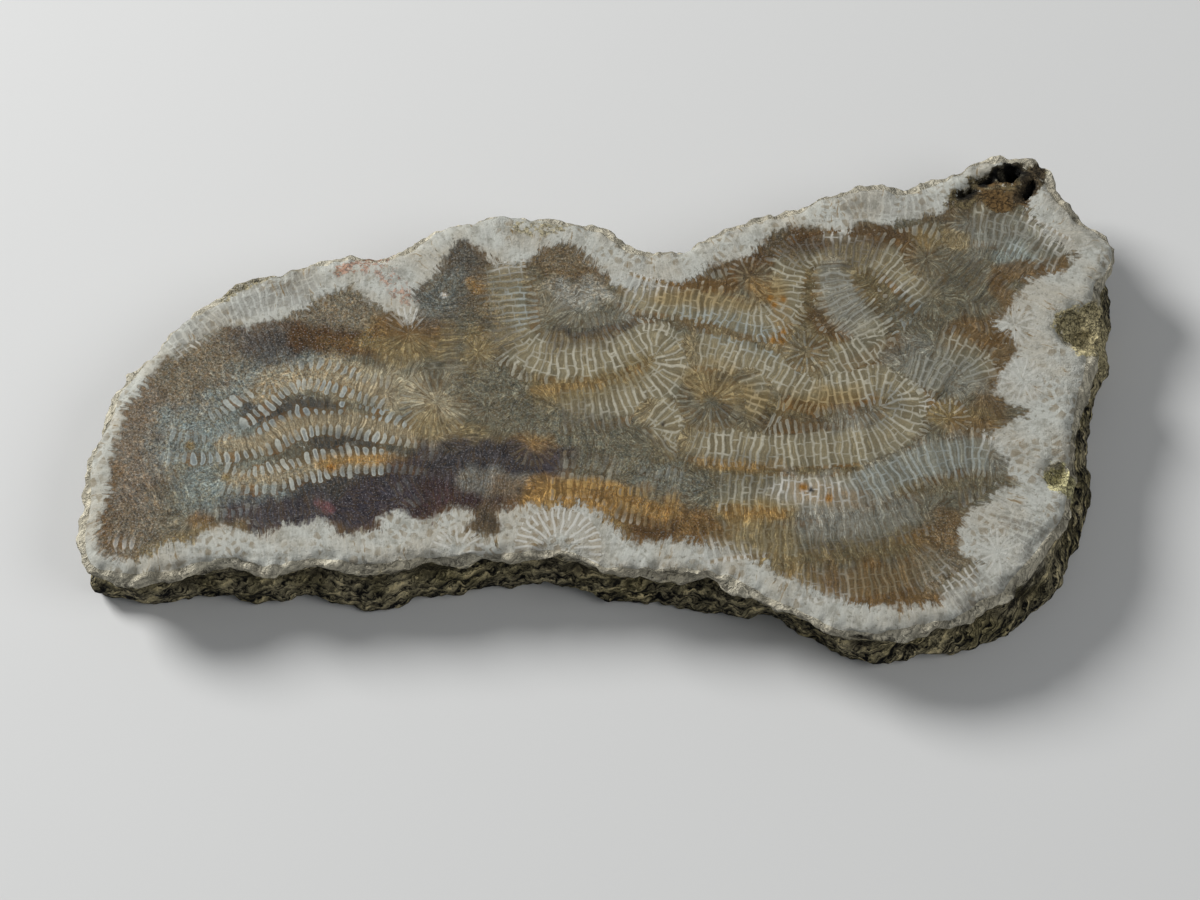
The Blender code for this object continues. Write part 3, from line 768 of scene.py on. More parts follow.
# Places with rougher stone, as picture points with their reach in millimetres.
CRAGS = (((1085, 322), 7.0), ((1057, 475), 3.5), ((1005, 170), 5.0))
CRAG_SIZE = 1.7
CRAG_DEPTH = 1.1
LIP_WIDTH = 2.0
LIP_HEIGHT = 2.4
LIP_DROP = 0.9
LIP_WAVE = 1.7
NEARLY_ALL = 0.999
LIP_MIDDLE = 0.75
# Wall faces that cut through others are eased apart: how many times at most, and how far each time.
EASING_ROUNDS = 20
EASING = 0.5


@functools.cache
def crags():
    """The rougher places, in millimetres on the slab."""
    return [(tuple(on_face([point])[0]), reach) for point, reach in CRAGS]


def relief_at(place):
    """How far the weathered wall stands out (or is pitted) at a place, in millimetres."""
    lump = noise.fractal(place / LUMP_SIZE, *LUMP_ROUGHNESS)
    ledge = noise.noise(Vector((place.x / LEDGE_RUN, place.y / LEDGE_RUN, place.z / LEDGE_SIZE)))
    pit = noise.voronoi(place / PIT_SIZE)[0][0] - PIT_MIDDLE
    grit = noise.noise(place / GRIT_SIZE)
    waist = max(0.0, 1.0 - ((place.z - WAIST_LEVEL) / WAIST_HALF) ** 2)
    relief = LUMP_DEPTH * lump + LEDGE_DEPTH * ledge + PIT_DEPTH * pit + GRIT_DEPTH * grit
    for centre, reach in crags():
        near = max(0.0, 1.0 - math.dist(place.xy, centre) / reach)
        below = min(1.0, max(0.0, FACE_LEVEL - place.z))
        relief += near * below * CRAG_DEPTH * noise.noise(place / CRAG_SIZE)
    return max(MOST_IN, min(MOST_OUT, relief - WAIST_DEPTH * waist))


def weather_wall(piece):
    """Moves the wall's points in and out, and stores how far for the colours."""
    mesh = piece.data
    upper, lower = corners_of(mesh, FACE_SLOT), corners_of(mesh, BACK_SLOT)
    reliefs = np.zeros(len(mesh.vertices), np.float32)
    spots = {}
    for index in corners_of(mesh, WALL_SLOT):
        place = mesh.vertices[index].co / MM
        outward = mesh.vertices[index].normal.copy()
        relief = relief_at(place)
        reliefs[index] = relief
        if index in upper or index in lower:
            outward.z = 0.0
            tooth = TOOTH_DEPTH * relief + TOOTH_EXTRA * noise.noise(place / TOOTH_SIZE)
            spots[index] = place + outward * max(-MOST_TOOTH, min(MOST_TOOTH, tooth))
            spots[index].z = FACE_LEVEL if index in upper else 0.0
        else:
            spots[index] = place + outward * relief
            spots[index].z = min(max(spots[index].z, WALL_DROP), FACE_LEVEL - WALL_DROP)
    for index, spot in spots.items():
        mesh.vertices[index].co = spot * MM
    add_value(mesh, "relief", reliefs)


def round_lip(piece):
    """Lowers the worn upper edge of the slab, unevenly, along the outline and round the hollows."""
    mesh = piece.data
    rim = flat_tree([mesh.vertices[index].co / MM for loop in rim_loops(mesh) for index in loop])
    for vertex in mesh.vertices:
        place = vertex.co / MM
        above = (place.z - FACE_LEVEL + LIP_HEIGHT) / LIP_HEIGHT
        gap = rim.find((place.x, place.y, 0.0))[2] if above > NEARLY_ALL else 0.0
        if above <= 0.0 or gap > LIP_WIDTH:
            continue
        uneven = LIP_MIDDLE + noise.noise(Vector((place.x / LIP_WAVE, place.y / LIP_WAVE, 0.0)))
        drop = LIP_DROP * (1.0 - gap / LIP_WIDTH) ** 2 * uneven * above
        vertex.co.z -= drop * MM


def tangled_corners(spots, faces):
    """Corners of the faces that cut through a face that they don't touch."""
    tree = bvhtree.BVHTree.FromPolygons(spots.tolist(), faces)
    tangled = set()
    for first, second in tree.overlap(tree):
        if set(faces[first]).isdisjoint(faces[second]):
            tangled.update(faces[first] + faces[second])
    return sorted(tangled)


def untangle_wall(piece):
    """Eases points towards their neighbours where the relief pushed the wall through itself."""
    mesh = piece.data
    walls = (polygon for polygon in mesh.polygons if polygon.material_index == WALL_SLOT)
    faces = [tuple(polygon.vertices) for polygon in walls]
    links = np.array([edge.vertices[:] for edge in mesh.edges])
    links = np.vstack([links, links[:, ::-1]])
    counts = np.bincount(links[:, 0], minlength=len(mesh.vertices))[:, None]
    spots = places_of(mesh)
    fixed = sorted(corners_of(mesh, FACE_SLOT) | corners_of(mesh, BACK_SLOT))
    for _ in range(EASING_ROUNDS):
        moving = np.zeros(len(spots), bool)
        moving[tangled_corners(spots, faces)] = True
        if not moving.any():
            break
        moving[links[moving[links[:, 0]], 1]] = True
        moving[fixed] = False
        sums = np.zeros_like(spots)
        np.add.at(sums, links[:, 0], spots[links[:, 1]])
        spots[moving] += EASING * (sums / counts - spots)[moving]
    mesh.vertices.foreach_set("co", (spots * MM).ravel())
    mesh.update()


# ---------------------------------------------------------------- laying the pattern on the face


def smooth_line(places):
    """Even samples of a smooth curve through the places: samples, directions, distance along."""
    padded = np.vstack((2 * places[0] - places[1], places, 2 * places[-1] - places[-2]))
    share = np.linspace(0.0, 1.0, SPAN_SAMPLES, endpoint=False)[:, None]
    spans = []
    for before, start, end, after in zip(padded, padded[1:], padded[2:], padded[3:]):
        bend = 2 * before - 5 * start + 4 * end - after
        twist = 3 * start - before - 3 * end + after
        spans.append(start + 0.5 * ((end - before) * share + bend * share**2 + twist * share**3))
    dense = np.vstack([*spans, places[-1:]])
    reach = np.concatenate(([0.0], np.cumsum(np.linalg.norm(np.diff(dense, axis=0), axis=1))))
    along = np.arange(0.0, reach[-1], GUIDE_STEP)
    run = np.stack([np.interp(along, reach, dense[:, axis]) for axis in (0, 1)], axis=1)
    direction = np.gradient(run, axis=0)
    direction /= np.linalg.norm(direction, axis=1)[:, None]
    return run, direction, along


class Guides:
    """Sampled curves that can be asked for the nearest one."""

    def __init__(self, lines, steps=None):
        samples = [smooth_line(line) for line in lines]
        self.steps = np.array(steps or [SEPTUM_STEP] * len(lines))
        self.places = np.vstack([sample[0] for sample in samples])
        self.directions = np.vstack([sample[1] for sample in samples])
        self.bends = np.concatenate([bend_along(sample[1]) for sample in samples])
        self.along = np.concatenate([sample[2] for sample in samples])
        self.owner = np.concatenate([np.full(len(sample[2]), i) for i, sample in enumerate(samples)])
        self.length = np.array([sample[2][-1] for sample in samples])
        self.tree = flat_tree(self.places)

    def nearest(self, points):
        """For each point its nearest curve, with the places along and away from it.

        stretch is the true length of a step along; gradient and outward are the directions in which
        along and away grow; to_end is the distance from the curve's end, negative beyond it.
        """
        index = np.array([self.tree.find((x, y, 0.0))[1] for x, y in points])
        offset = points - self.places[index]
        direction = self.directions[index]
        away = np.maximum(np.linalg.norm(offset, axis=1), 1e-6)
        ahead = (offset * direction).sum(axis=1)
        owner = self.owner[index]
        at_start = self.along[index] < GUIDE_STEP / 2
        at_end = self.along[index] > self.length[owner] - GUIDE_STEP / 2
        past = (at_start & (ahead < 0)) | (at_end & (ahead > 0))
        angle = np.arcsin(np.clip(ahead / away, -1.0, 1.0))
        along = self.along[index] + np.where(past, angle * FAN_RADIUS, ahead)
        to_end = np.minimum(self.along[index], self.length[owner] - self.along[index])
        side = direction[:, 0] * offset[:, 1] - direction[:, 1] * offset[:, 0]
        stretch = np.where(past, away / FAN_RADIUS, 1.0 - self.bends[index] * side)
        stretch = np.clip(stretch, LEAST_STRETCH, MOST_STRETCH)
        scale = SEPTUM_STEP / self.steps[owner]
        outward = offset / away[:, None]
        turned = np.stack((outward[:, 1], -outward[:, 0]), axis=1)
        turned *= np.sign((turned * direction).sum(axis=1))[:, None]
        gradient = np.where(past[:, None], turned, direction) / stretch[:, None]
        return {
            "guide": owner,
            "along": along * scale,
            "away": away,
            "gradient": gradient * scale[:, None],
            "outward": outward,
            "stretch": stretch / scale,
            "to_end": np.where(past, -away, to_end),
        }


def bend_along(directions):
    """Evened-out bend, in turns of one radian per millimetre, at each sample of a curve."""
    heading = np.unwrap(np.arctan2(directions[:, 1], directions[:, 0]))
    window = np.ones(BEND_SPAN) / BEND_SPAN
    reach = BEND_SPAN // 2
    bend = np.gradient(heading) / GUIDE_STEP
    return np.convolve(np.pad(bend, reach, mode="edge"), window, mode="valid")[: len(directions)]


def rim_line():
    """The inner edge of the rim, closed and with its fingers evened out."""
    edge = on_face(RIM_EDGE)
    reach = RIM_SMOOTHING // 2
    evened = np.mean([np.roll(edge, shift, axis=0) for shift in range(-reach, reach + 1)], axis=0)
    return np.vstack((evened, evened[:1]))


def inset_from_rim(points):
    """How far each place is inside the coloured part of the face; negative on the rim."""
    edge = on_face(RIM_EDGE)
    closed = np.vstack((edge, edge[:1]))
    inset = line_distance(points, closed)
    inset[~within(points, closed[:-1], closed[1:])] *= -1.0
    return inset


def pick(mask, chosen, otherwise):
    """Pattern fields taken from chosen where the mask holds, and from otherwise elsewhere."""
    fields = {}
    for name, values in otherwise.items():
        wide = mask.reshape(-1, *[1] * (values.ndim - 1))
        fields[name] = np.where(wide, chosen[name], values)
    return fields


def wall_fields(points, walls, to_floor):
    """The pattern of the colony walls, with the reach of each wall's tips."""
    sizes = np.array([wall[:4] for wall in WALLS.values()])
    swelling = np.array([ROW_SWELLING if "row" in name else WALL_SWELLING for name in WALLS])
    fields = walls.nearest(points)
    half, leaf, net_shown, leaf_shown = sizes[fields["guide"]].T
    to_end = fields.pop("to_end")
    fields["net"] = half - fields["away"]
    fields["tip"] = np.minimum(half + leaf - fields["away"], to_floor - TIP_GAP)
    fields["net_shown"] = net_shown * smooth(to_end, NET_FADE, END_FADE)
    fields["leaf_shown"] = leaf_shown * smooth(to_end, -END_FADE, END_FADE)
    fields["swelling"] = swelling[fields["guide"]]
    return fields, half + leaf


def valley_fields(nearest):
    """The pattern beside a valley: tips that point at it from both sides."""
    sizes = np.array([valley[:2] for valley in VALLEYS.values()])
    leaf, leaf_shown = sizes[nearest["guide"]].T
    fields = dict(nearest)
    to_end = fields.pop("to_end")
    to_floor = fields["away"]
    fields["guide"] = FIRST_VALLEY + nearest["guide"]
    fields["outward"] = -nearest["outward"]
    fields["away"] = VALLEY_REACH - to_floor
    fields["net"] = to_floor - TIP_GAP - leaf
    fields["tip"] = to_floor - TIP_GAP
    fields["net_shown"] = np.zeros(len(to_floor))
    fields["leaf_shown"] = leaf_shown * smooth(to_end, -END_FADE, END_FADE)
    fields["swelling"] = np.full(len(to_floor), VALLEY_SWELLING)
    return fields


def star_fields(points, number, star):
    """The pattern of a round valley end: septa that run in from a ring."""
    radius, length, shown, centre = star
    offset = points - on_face([centre])[0]
    distance = np.maximum(np.linalg.norm(offset, axis=1), STAR_CENTRE)
    angle = np.arctan2(offset[:, 1], offset[:, 0])
    scale = round(math.tau * radius / SEPTUM_STEP) * SEPTUM_STEP / math.tau
    radial = offset / distance[:, None]
    turned = np.stack((-radial[:, 1], radial[:, 0]), axis=1)
    count = len(points)
    fields = {
        "guide": np.full(count, FIRST_STAR + number),
        "along": angle * scale,
        "away": radius - distance,
        "gradient": turned * (scale / distance)[:, None],
        "outward": -radial,
        "stretch": np.clip(distance / scale, LEAST_STRETCH, MOST_STRETCH),
        "net": distance - radius,
        "tip": length - (radius - distance),
        "net_shown": np.zeros(count),
        "leaf_shown": np.full(count, shown),
        "swelling": np.full(count, STAR_SWELLING),
    }
    return fields, distance < radius


def rim_fields(nearest, inset):
    """The pattern of the rim: short white septa square to its inner edge."""
    fields = dict(nearest)
    del fields["to_end"]
    count = len(inset)
    fields["guide"] = np.full(count, RIM_GUIDE)
    fields["net"] = np.full(count, RIM_NET)
    fields["tip"] = RIM_FINGERS * RIM_TIPS - inset
    fields["net_shown"] = np.zeros(count)
    fields["leaf_shown"] = np.full(count, RIM_SHOWN)
    fields["swelling"] = np.full(count, RIM_SWELLING)
    return fields


def pattern_fields(points, walls, valleys, rim):
    """Where each place lies in the pattern of the walls, valleys, round ends and rim."""
    nearest = valleys.nearest(points)
    to_floor = nearest["away"]
    fields, reach = wall_fields(points, walls, to_floor)
    by_valley = (fields["away"] > reach + WALL_MARGIN) & (to_floor < VALLEY_REACH)
    fields = pick(by_valley, valley_fields(nearest), fields)
    for number, star in enumerate(STARS.values()):
        round_end, inside = star_fields(points, number, star)
        fields = pick(inside, round_end, fields)
    inset = inset_from_rim(points)
    netted = (fields["net"] > -NET_MARGIN) & (fields["net_shown"] > NET_LEAST)
    plain = netted | (fields["leaf_shown"] > PLAIN_LEAVES)
    on_rim = (inset < RIM_FINGERS) & (fields["guide"] < FIRST_STAR) & ~plain
    fields = pick(on_rim, rim_fields(rim.nearest(points), inset), fields)
    fields["inset"] = inset
    return fields


def pattern_guides():
    """The middle lines of the walls and the valleys, and the rim's inner edge."""
    steps = [ROW_STEP if "row_" in name else SEPTUM_STEP for name in WALLS]
    walls = Guides([on_face(wall[4]) for wall in WALLS.values()], steps)
    valleys = Guides([on_face(valley[2]) for valley in VALLEYS.values()])
    return walls, valleys, Guides([rim_line()])


def lay_pattern(piece):
    """Stores on the face, corner by corner, where it lies in the septa pattern.

    Corners in another run of septa than the middle of their face take its values, carried on.
    """
    mesh = piece.data
    guides = pattern_guides()
    corners = places_of(mesh)[:, :2]
    middles = np.array([polygon.center[:2] for polygon in mesh.polygons]) / MM
    at_corner = pattern_fields(corners, *guides)
    at_middle = pattern_fields(middles, *guides)
    corner, face = corners_and_faces(mesh)
    step = corners[corner] - middles[face]
    same = at_corner["guide"][corner] == at_middle["guide"][face]
    same &= np.abs(at_corner["along"][corner] - at_middle["along"][face]) < SEPTUM_STEP
    ahead = (at_middle["gradient"][face] * step).sum(axis=1)
    outward = (at_middle["outward"][face] * step).sum(axis=1)
    carried = {"along": ahead, "away": outward, "net": -outward, "tip": -outward}
    along, away, net, tip = (
        np.where(same, at_corner[name][corner], at_middle[name][face] + change)
        for name, change in carried.items()
    )
    add_uv(mesh, "septa", np.stack((along + COUNT_GAP * at_middle["guide"][face], away), axis=1))
    add_uv(mesh, "zones", np.stack((net, tip), axis=1))
    shown = [at_corner[name] for name in ("net_shown", "leaf_shown", "stretch", "swelling")]
    add_colour(mesh, "pattern", np.stack(shown, axis=1))
    add_value(mesh, "inset", at_corner["inset"])


# ---------------------------------------------------------------- painting the face
# A stroke's edge is uneven by RAGGED_DEPTH millimetres, and fades between two shares of its radius.
RAGGED_DEPTH = 0.55
RAGGED_SIZE = 3.0
RAGGED_ROUGHNESS = (1.0, 2.2, 3)
MOST_RAGGED = 4.0
STROKE_EDGE = (1.25, 0.45)
SPOT_EDGE = (1.2, 0.4)
# Septa that cross the rim's inner edge are whitened: how much, and between which distances from it.
EDGE_WHITE = 0.85
EDGE_CONTRAST = 0.9
EDGE_REACH = (2.6, 1.2)
SRGB_KNEE = 0.04045
SRGB_SLOPE = 12.92
SRGB_OFFSET = 0.055
SRGB_POWER = 2.4


def linear(tone):
    """Scene-linear colour of a named tone."""
    share = np.array(TONES[tone]) / 255.0
    curved = ((share + SRGB_OFFSET) / (1.0 + SRGB_OFFSET)) ** SRGB_POWER
    return np.where(share <= SRGB_KNEE, share / SRGB_SLOPE, curved)


def smooth(value, low, high):
    """Eases from 0 to 1 as value goes from low to high."""
    share = np.clip((value - low) / (high - low), 0.0, 1.0)
    return share * share * (3.0 - 2.0 * share)


def line_distance(points, line):
    """Distance in millimetres of each place from a run of straight spans."""
    nearest = np.full(len(points), np.inf)
    spans = list(zip(line, line[1:])) if len(line) > 1 else [(line[0], line[0])]
    for start, end in spans:
        run = end - start
        share = np.clip(((points - start) @ run) / max(run @ run, 1e-9), 0.0, 1.0)
        nearest = np.minimum(nearest, ((points - start - share[:, None] * run) ** 2).sum(axis=1))
    return np.sqrt(nearest)


def brush(points, ragged, radius, line):
    """How strongly a stroke covers each place, 0 to 1, with an uneven edge."""
    distance = line_distance(points, on_face(line)) + ragged * min(radius, MOST_RAGGED)
    return smooth(distance, *(radius * share for share in STROKE_EDGE))


def lay_over(colours, cover, tone):
    """Mixes a tone into colours, as far as cover says at each place."""
    colours[:, :3] += cover[:, None] * (linear(tone) - colours[:, :3])


def painted_ground(points, ragged):
    """Colour of the ground, with its graininess as the fourth value."""
    ground = np.empty((len(points), 4))
    ground[:, :3] = linear(GROUND_TONE)
    ground[:, 3] = GRAIN
    for tone, radius, strength, line in GROUND_STROKES:
        lay_over(ground, strength * brush(points, ragged, radius, line), tone)
    for amount, radius, line in GRAIN_STROKES:
        ground[:, 3] += brush(points, ragged, radius, line) * (amount - ground[:, 3])
    return ground


def painted_septa(points, ragged):
    """Colour of the septa, with their contrast as the fourth value."""
    septa = np.empty((len(points), 4))
    septa[:, :3] = linear(SEPTA_TONE)
    septa[:, 3] = SEPTA_CONTRAST
    for tone, radius, contrast, line in SEPTA_STROKES:
        cover = brush(points, ragged, radius, line)[:, None]
        septa += cover * (np.append(linear(tone), contrast) - septa)
    cover = EDGE_WHITE * smooth(line_distance(points, on_face(RIM_EDGE)), *EDGE_REACH)[:, None]
    septa += cover * (np.append(linear("white"), EDGE_CONTRAST) - septa)
    return septa


def paint_stains_and_shadow(mesh, points, ragged):
    """Colours laid over everything else, rim and wall too: stains, and the painted shadow inside the
    corner hollow.
    """
    stain_and_shadow = np.zeros((len(points), 4))
    for tone, radius, strength, line in STAINS_AND_SHADOW:
        cover = strength * brush(points, ragged, radius, line)
        stain_and_shadow[:, :3] += np.where(stain_and_shadow[:, 3:] > 0, cover[:, None], 1.0) * (linear(tone) - stain_and_shadow[:, :3])
        stain_and_shadow[:, 3] = np.maximum(stain_and_shadow[:, 3], cover)
    add_colour(mesh, "stain_and_shadow", stain_and_shadow)


def paint_face(piece):
    """Stores the colours of the ground, the septa and the stains, with the painted shadow inside the
    corner hollow.
    """
    mesh = piece.data
    points = places_of(mesh)[:, :2]
    uneven = [noise.fractal((x / RAGGED_SIZE, y / RAGGED_SIZE, 0.0), *RAGGED_ROUGHNESS) for x, y in points]
    ragged = RAGGED_DEPTH * np.array(uneven)
    ground, septa = painted_ground(points, ragged), painted_septa(points, ragged)
    for tone, radius, place in SPOTS:
        distance = line_distance(points, on_face([place]))
        cover = smooth(distance, *(radius * share for share in SPOT_EDGE))
        lay_over(ground, cover, tone)
        lay_over(septa, cover, tone)
    add_colour(mesh, "ground", ground)
    add_colour(mesh, "septa_tone", septa)
    paint_stains_and_shadow(mesh, points, ragged)


# ---------------------------------------------------------------- bake layout
# Millimetres of the map: the face and the wall are laid out at full size, the back smaller.
ATLAS_GAP = 1.0
STRIP_HEIGHT = 15.5
WALL_STRIPS = 3
BACK_SCALE = 0.27
LEDGE_SHARE = 0.3
OUTLINE_SMOOTHING = 20


def hollow_faces(mesh, outline):
    """Marks the wall faces of the hollows: those that aren't joined to the slab's outline."""
    around = {}
    for polygon in mesh.polygons:
        if polygon.material_index == WALL_SLOT:
            for index in polygon.vertices:
                around.setdefault(index, []).append(polygon.index)
    outer, corners = set(), set(outline)
    while corners:
        found = {face for index in corners for face in around.get(index, ())} - outer
        outer |= found
        corners = {index for face in found for index in mesh.polygons[face].vertices}
    walls = np.array([polygon.material_index for polygon in mesh.polygons]) == WALL_SLOT
    walls[list(outer)] = False
    return walls


def evened(outline):
    """The closed outline with every corner drawn in to the middle of those beside it."""
    line = outline[:-1]
    window = np.arange(-OUTLINE_SMOOTHING, OUTLINE_SMOOTHING + 1)
    return line[(np.arange(len(line))[:, None] + window) % len(line)].mean(axis=1)


def along_outline(line, spots):
    """How far round the closed line each spot is, how far outside it, and its length."""
    sides = np.roll(line, -1, axis=0) - line
    lengths = np.linalg.norm(sides, axis=1)
    arc = np.cumsum(lengths) - lengths
    turning = np.sign(np.sum(line[:, 0] * sides[:, 1] - line[:, 1] * sides[:, 0]))
    tree = flat_tree(line)
    nearest = np.array([tree.find((x, y, 0.0))[1] for x, y in spots])
    best, places, outside = np.full(len(spots), np.inf), np.zeros(len(spots)), np.zeros(len(spots))
    for side in (nearest - 1, nearest):
        offset = spots - line[side]
        share = np.clip(np.sum(offset * sides[side], axis=1) / lengths[side] ** 2, 0.0, 1.0)
        gap = np.linalg.norm(offset - sides[side] * share[:, None], axis=1)
        left = sides[side, 0] * offset[:, 1] - sides[side, 1] * offset[:, 0]
        closer = gap < best
        best = np.where(closer, gap, best)
        places = np.where(closer, arc[side] + share * lengths[side], places)
        outside = np.where(closer, -turning * np.sign(left) * gap, outside)
    return places, outside, lengths.sum()


def unrolled(mesh, spots, outline, width, base):
    """Places of the wall's corners in WALL_STRIPS strips of a width, laid from a base upwards."""
    arc, outside, length = along_outline(evened(spots[outline, :2]), spots[:, :2])
    corner, face = corners_and_faces(mesh)
    start = arc[[mesh.loops[polygon.loop_start].vertex_index for polygon in mesh.polygons]]
    span = length / WALL_STRIPS
    strip = np.minimum(start // span, WALL_STRIPS - 1)
    ahead = arc[corner] - start[face]
    ahead -= length * np.round(ahead / length)
    across = (start - strip * span)[face] + ahead
    level = spots[corner, 2] - LEDGE_SHARE * outside[corner]
    level += base + strip[face] * (STRIP_HEIGHT + ATLAS_GAP)
    return np.stack((across * width / span + 2 * ATLAS_GAP, level), axis=1)


def lay_atlas(piece):
    """The map for baking: the face with its hollows, the wall in strips, and a smaller sawn back."""
    mesh = piece.data
    spots = places_of(mesh)
    low, high = spots.min(axis=0), spots.max(axis=0)
    width, depth = (high - low)[:2]
    corner, face = corners_and_faces(mesh)
    slot = np.array([polygon.material_index for polygon in mesh.polygons])
    outline = rim_loops(mesh)[0]
    place = (spots[corner] - low)[:, :2]
    strips_base = depth + 2 * ATLAS_GAP
    back_base = strips_base + WALL_STRIPS * (STRIP_HEIGHT + ATLAS_GAP)
    in_strips = unrolled(mesh, spots, outline, width - 4 * ATLAS_GAP, strips_base)
    flat = ((slot == FACE_SLOT) | hollow_faces(mesh, outline))[face]
    charts = np.where(flat[:, None], place, in_strips)
    charts = np.where((slot == BACK_SLOT)[face][:, None], place * BACK_SCALE + (0.0, back_base), charts)
    add_uv(mesh, "OFBake", (charts + ATLAS_GAP) / (width + 2 * ATLAS_GAP))


# ---------------------------------------------------------------- material graphs


class Graph:
    """Short calls for building a node tree."""

    def __init__(self, tree):
        self.tree = tree

    def node(self, kind, inputs=None, **settings):
        node = self.tree.nodes.new(kind)
        for name, value in settings.items():
            setattr(node, name, value)
        for name, value in (inputs or {}).items():
            self.feed(node.inputs[name], value)
        return node

    def feed(self, socket, value):
        """Gives a socket another node's output, a named tone or a plain value."""
        if isinstance(value, bpy.types.NodeSocket):
            self.tree.links.new(value, socket)
        elif isinstance(value, str):
            socket.default_value = (*linear(value), 1.0)
        else:
            socket.default_value = value

    def math(self, operation, *values, clamp=False):
        node = self.node("ShaderNodeMath", operation=operation, use_clamp=clamp)
        for socket, value in zip(node.inputs, values):
            self.feed(socket, value)
        return node.outputs[0]

    def add(self, first, second):
        return self.math("ADD", first, second)

    def times(self, first, second):
        return self.math("MULTIPLY", first, second)

    def scaled(self, value, factor, offset=0.0):
        return self.math("MULTIPLY_ADD", value, factor, offset)

    def ramp(self, value, low, high, start=0.0, end=1.0):
        """Eases from start to end as value goes from low to high."""
        inputs = {"Value": value, "From Min": low, "From Max": high, "To Min": start, "To Max": end}
        node = self.node("ShaderNodeMapRange", inputs, interpolation_type="SMOOTHSTEP")
        return node.outputs["Result"]

    def mix(self, factor, first, second, mode="MIX"):
        node = self.node("ShaderNodeMix", data_type="RGBA", blend_type=mode, clamp_factor=True)
        self.feed(node.inputs[0], factor)
        self.feed(node.inputs[6], first)
        self.feed(node.inputs[7], second)
        return node.outputs[2]

    def shaded(self, tone, factor):
        """The tone made darker or lighter by a factor."""
        node = self.node("ShaderNodeVectorMath", {"Vector": tone, "Scale": factor}, operation="SCALE")
        return node.outputs[0]

    def noise(self, vector, size, detail=2.0, roughness=0.5):
        """Noise with features of about the given size in millimetres."""
        inputs = {"Vector": vector, "Scale": 1.0 / size, "Detail": detail, "Roughness": roughness}
        return self.node("ShaderNodeTexNoise", inputs).outputs["Fac"]

    def cell_depth(self, vector, size):
        """Distance from the walls of irregular cells of about the given size, as a share of it."""
        inputs = {"Vector": vector, "Scale": 1.0 / size}
        node = self.node("ShaderNodeTexVoronoi", inputs, feature="DISTANCE_TO_EDGE")
        return node.outputs["Distance"]

    def random(self, first, second=0.0):
        """A steady random value, 0 to 1, for a pair of whole numbers."""
        pair = self.node("ShaderNodeCombineXYZ", {"X": first, "Y": second}).outputs[0]
        node = self.node("ShaderNodeTexWhiteNoise", {"Vector": pair}, noise_dimensions="2D")
        return node.outputs["Value"]

    def millimetres(self):
        place = self.node("ShaderNodeTexCoord").outputs["Object"]
        scale = self.node("ShaderNodeVectorMath", {"Vector": place, "Scale": 1.0 / MM}, operation="SCALE")
        return scale.outputs[0]

    def bump(self, shader, height, strength, distance):
        """Gives a shader's surface a relief, with its distance in millimetres."""
        inputs = {"Height": height, "Strength": strength, "Distance": distance * MM}
        self.feed(shader.inputs["Normal"], self.node("ShaderNodeBump", inputs).outputs["Normal"])

    def attribute(self, name):
        return self.node("ShaderNodeAttribute", attribute_name=name)

    def sway(self, vector, reach, *noise):
        """Noise that runs from minus to plus half of a reach."""
        return self.scaled(self.noise(vector, *noise), reach, -reach / 2)

    def distance(self, value, middle=0.5):
        """How far a value is from a middle, on either side."""
        return self.math("ABSOLUTE", self.add(value, -middle))

    def hairs(self, strand, middle, width):
        """Thin lines where a noise is close to a middle."""
        return self.ramp(self.distance(strand, middle), width, 0.01)

    def split(self, vector):
        return self.node("ShaderNodeSeparateXYZ", {"Vector": vector}).outputs

    def uv(self, name):
        return self.split(self.node("ShaderNodeUVMap", uv_map=name).outputs["UV"])


def new_group(name, inputs, outputs):
    """An empty node group with the named sockets; returns its graph, inputs and output node."""
    tree = bpy.data.node_groups.new(name, "ShaderNodeTree")
    for label, kind in inputs:
        tree.interface.new_socket(label, in_out="INPUT", socket_type=kind)
    for label, kind in outputs:
        tree.interface.new_socket(label, in_out="OUTPUT", socket_type=kind)
    graph = Graph(tree)
    return graph, graph.node("NodeGroupInput").outputs, graph.node("NodeGroupOutput").inputs


def use_group(graph, tree, inputs):
    node = graph.node("ShaderNodeGroup", node_tree=tree)
    for name, value in inputs.items():
        graph.feed(node.inputs[name], value)
    return node.outputs


VECTOR = "NodeSocketVector"
FLOAT = "NodeSocketFloat"
COLOUR = "NodeSocketColor"
PATTERN_VALUES = ("Along", "Away", "Net", "Tip", "Stretch", "Swelling")
PATTERN_MARKS = (
    "Lines", "Net Zone", "Leaf", "Gap", "Core", "Cell", "Septum", "Fibre", "Brown Hair", "Pale Hair",
)
SEPTUM_SEED = 3.0
ROW_SEED = 7.0
CORE_SEED = 11.0


def chalk_group():
    """White chalky limestone: its colour and its fine relief."""
    outputs = [("Colour", COLOUR), ("Height", FLOAT)]
    graph, given, made = new_group("chalky_limestone", [("Place", VECTOR)], outputs)
    place = given["Place"]
    broad = graph.noise(place, 6.0, 3.0)
    middling = graph.noise(place, 2.0, 3.0, 0.6)
    fine = graph.noise(place, 0.6, 4.0, 0.65)
    crumb = graph.noise(place, 0.28, 2.0, 0.6)
    colour = graph.mix(graph.ramp(broad, 0.38, 0.66), "chalk", "chalk_warm")
    colour = graph.mix(graph.ramp(middling, 0.5, 0.34, 0.0, 0.6), colour, "chalk_shade")
    colour = graph.mix(graph.ramp(fine, 0.46, 0.32, 0.0, 0.8), colour, "chalk_shade")
    colour = graph.mix(graph.ramp(crumb, 0.54, 0.66, 0.0, 0.4), colour, "white")
    graph.feed(made["Colour"], colour)
    height = graph.add(graph.scaled(middling, 1.6), graph.scaled(fine, 0.9))
    graph.feed(made["Height"], graph.add(height, graph.scaled(crumb, 0.4)))
    return graph.tree


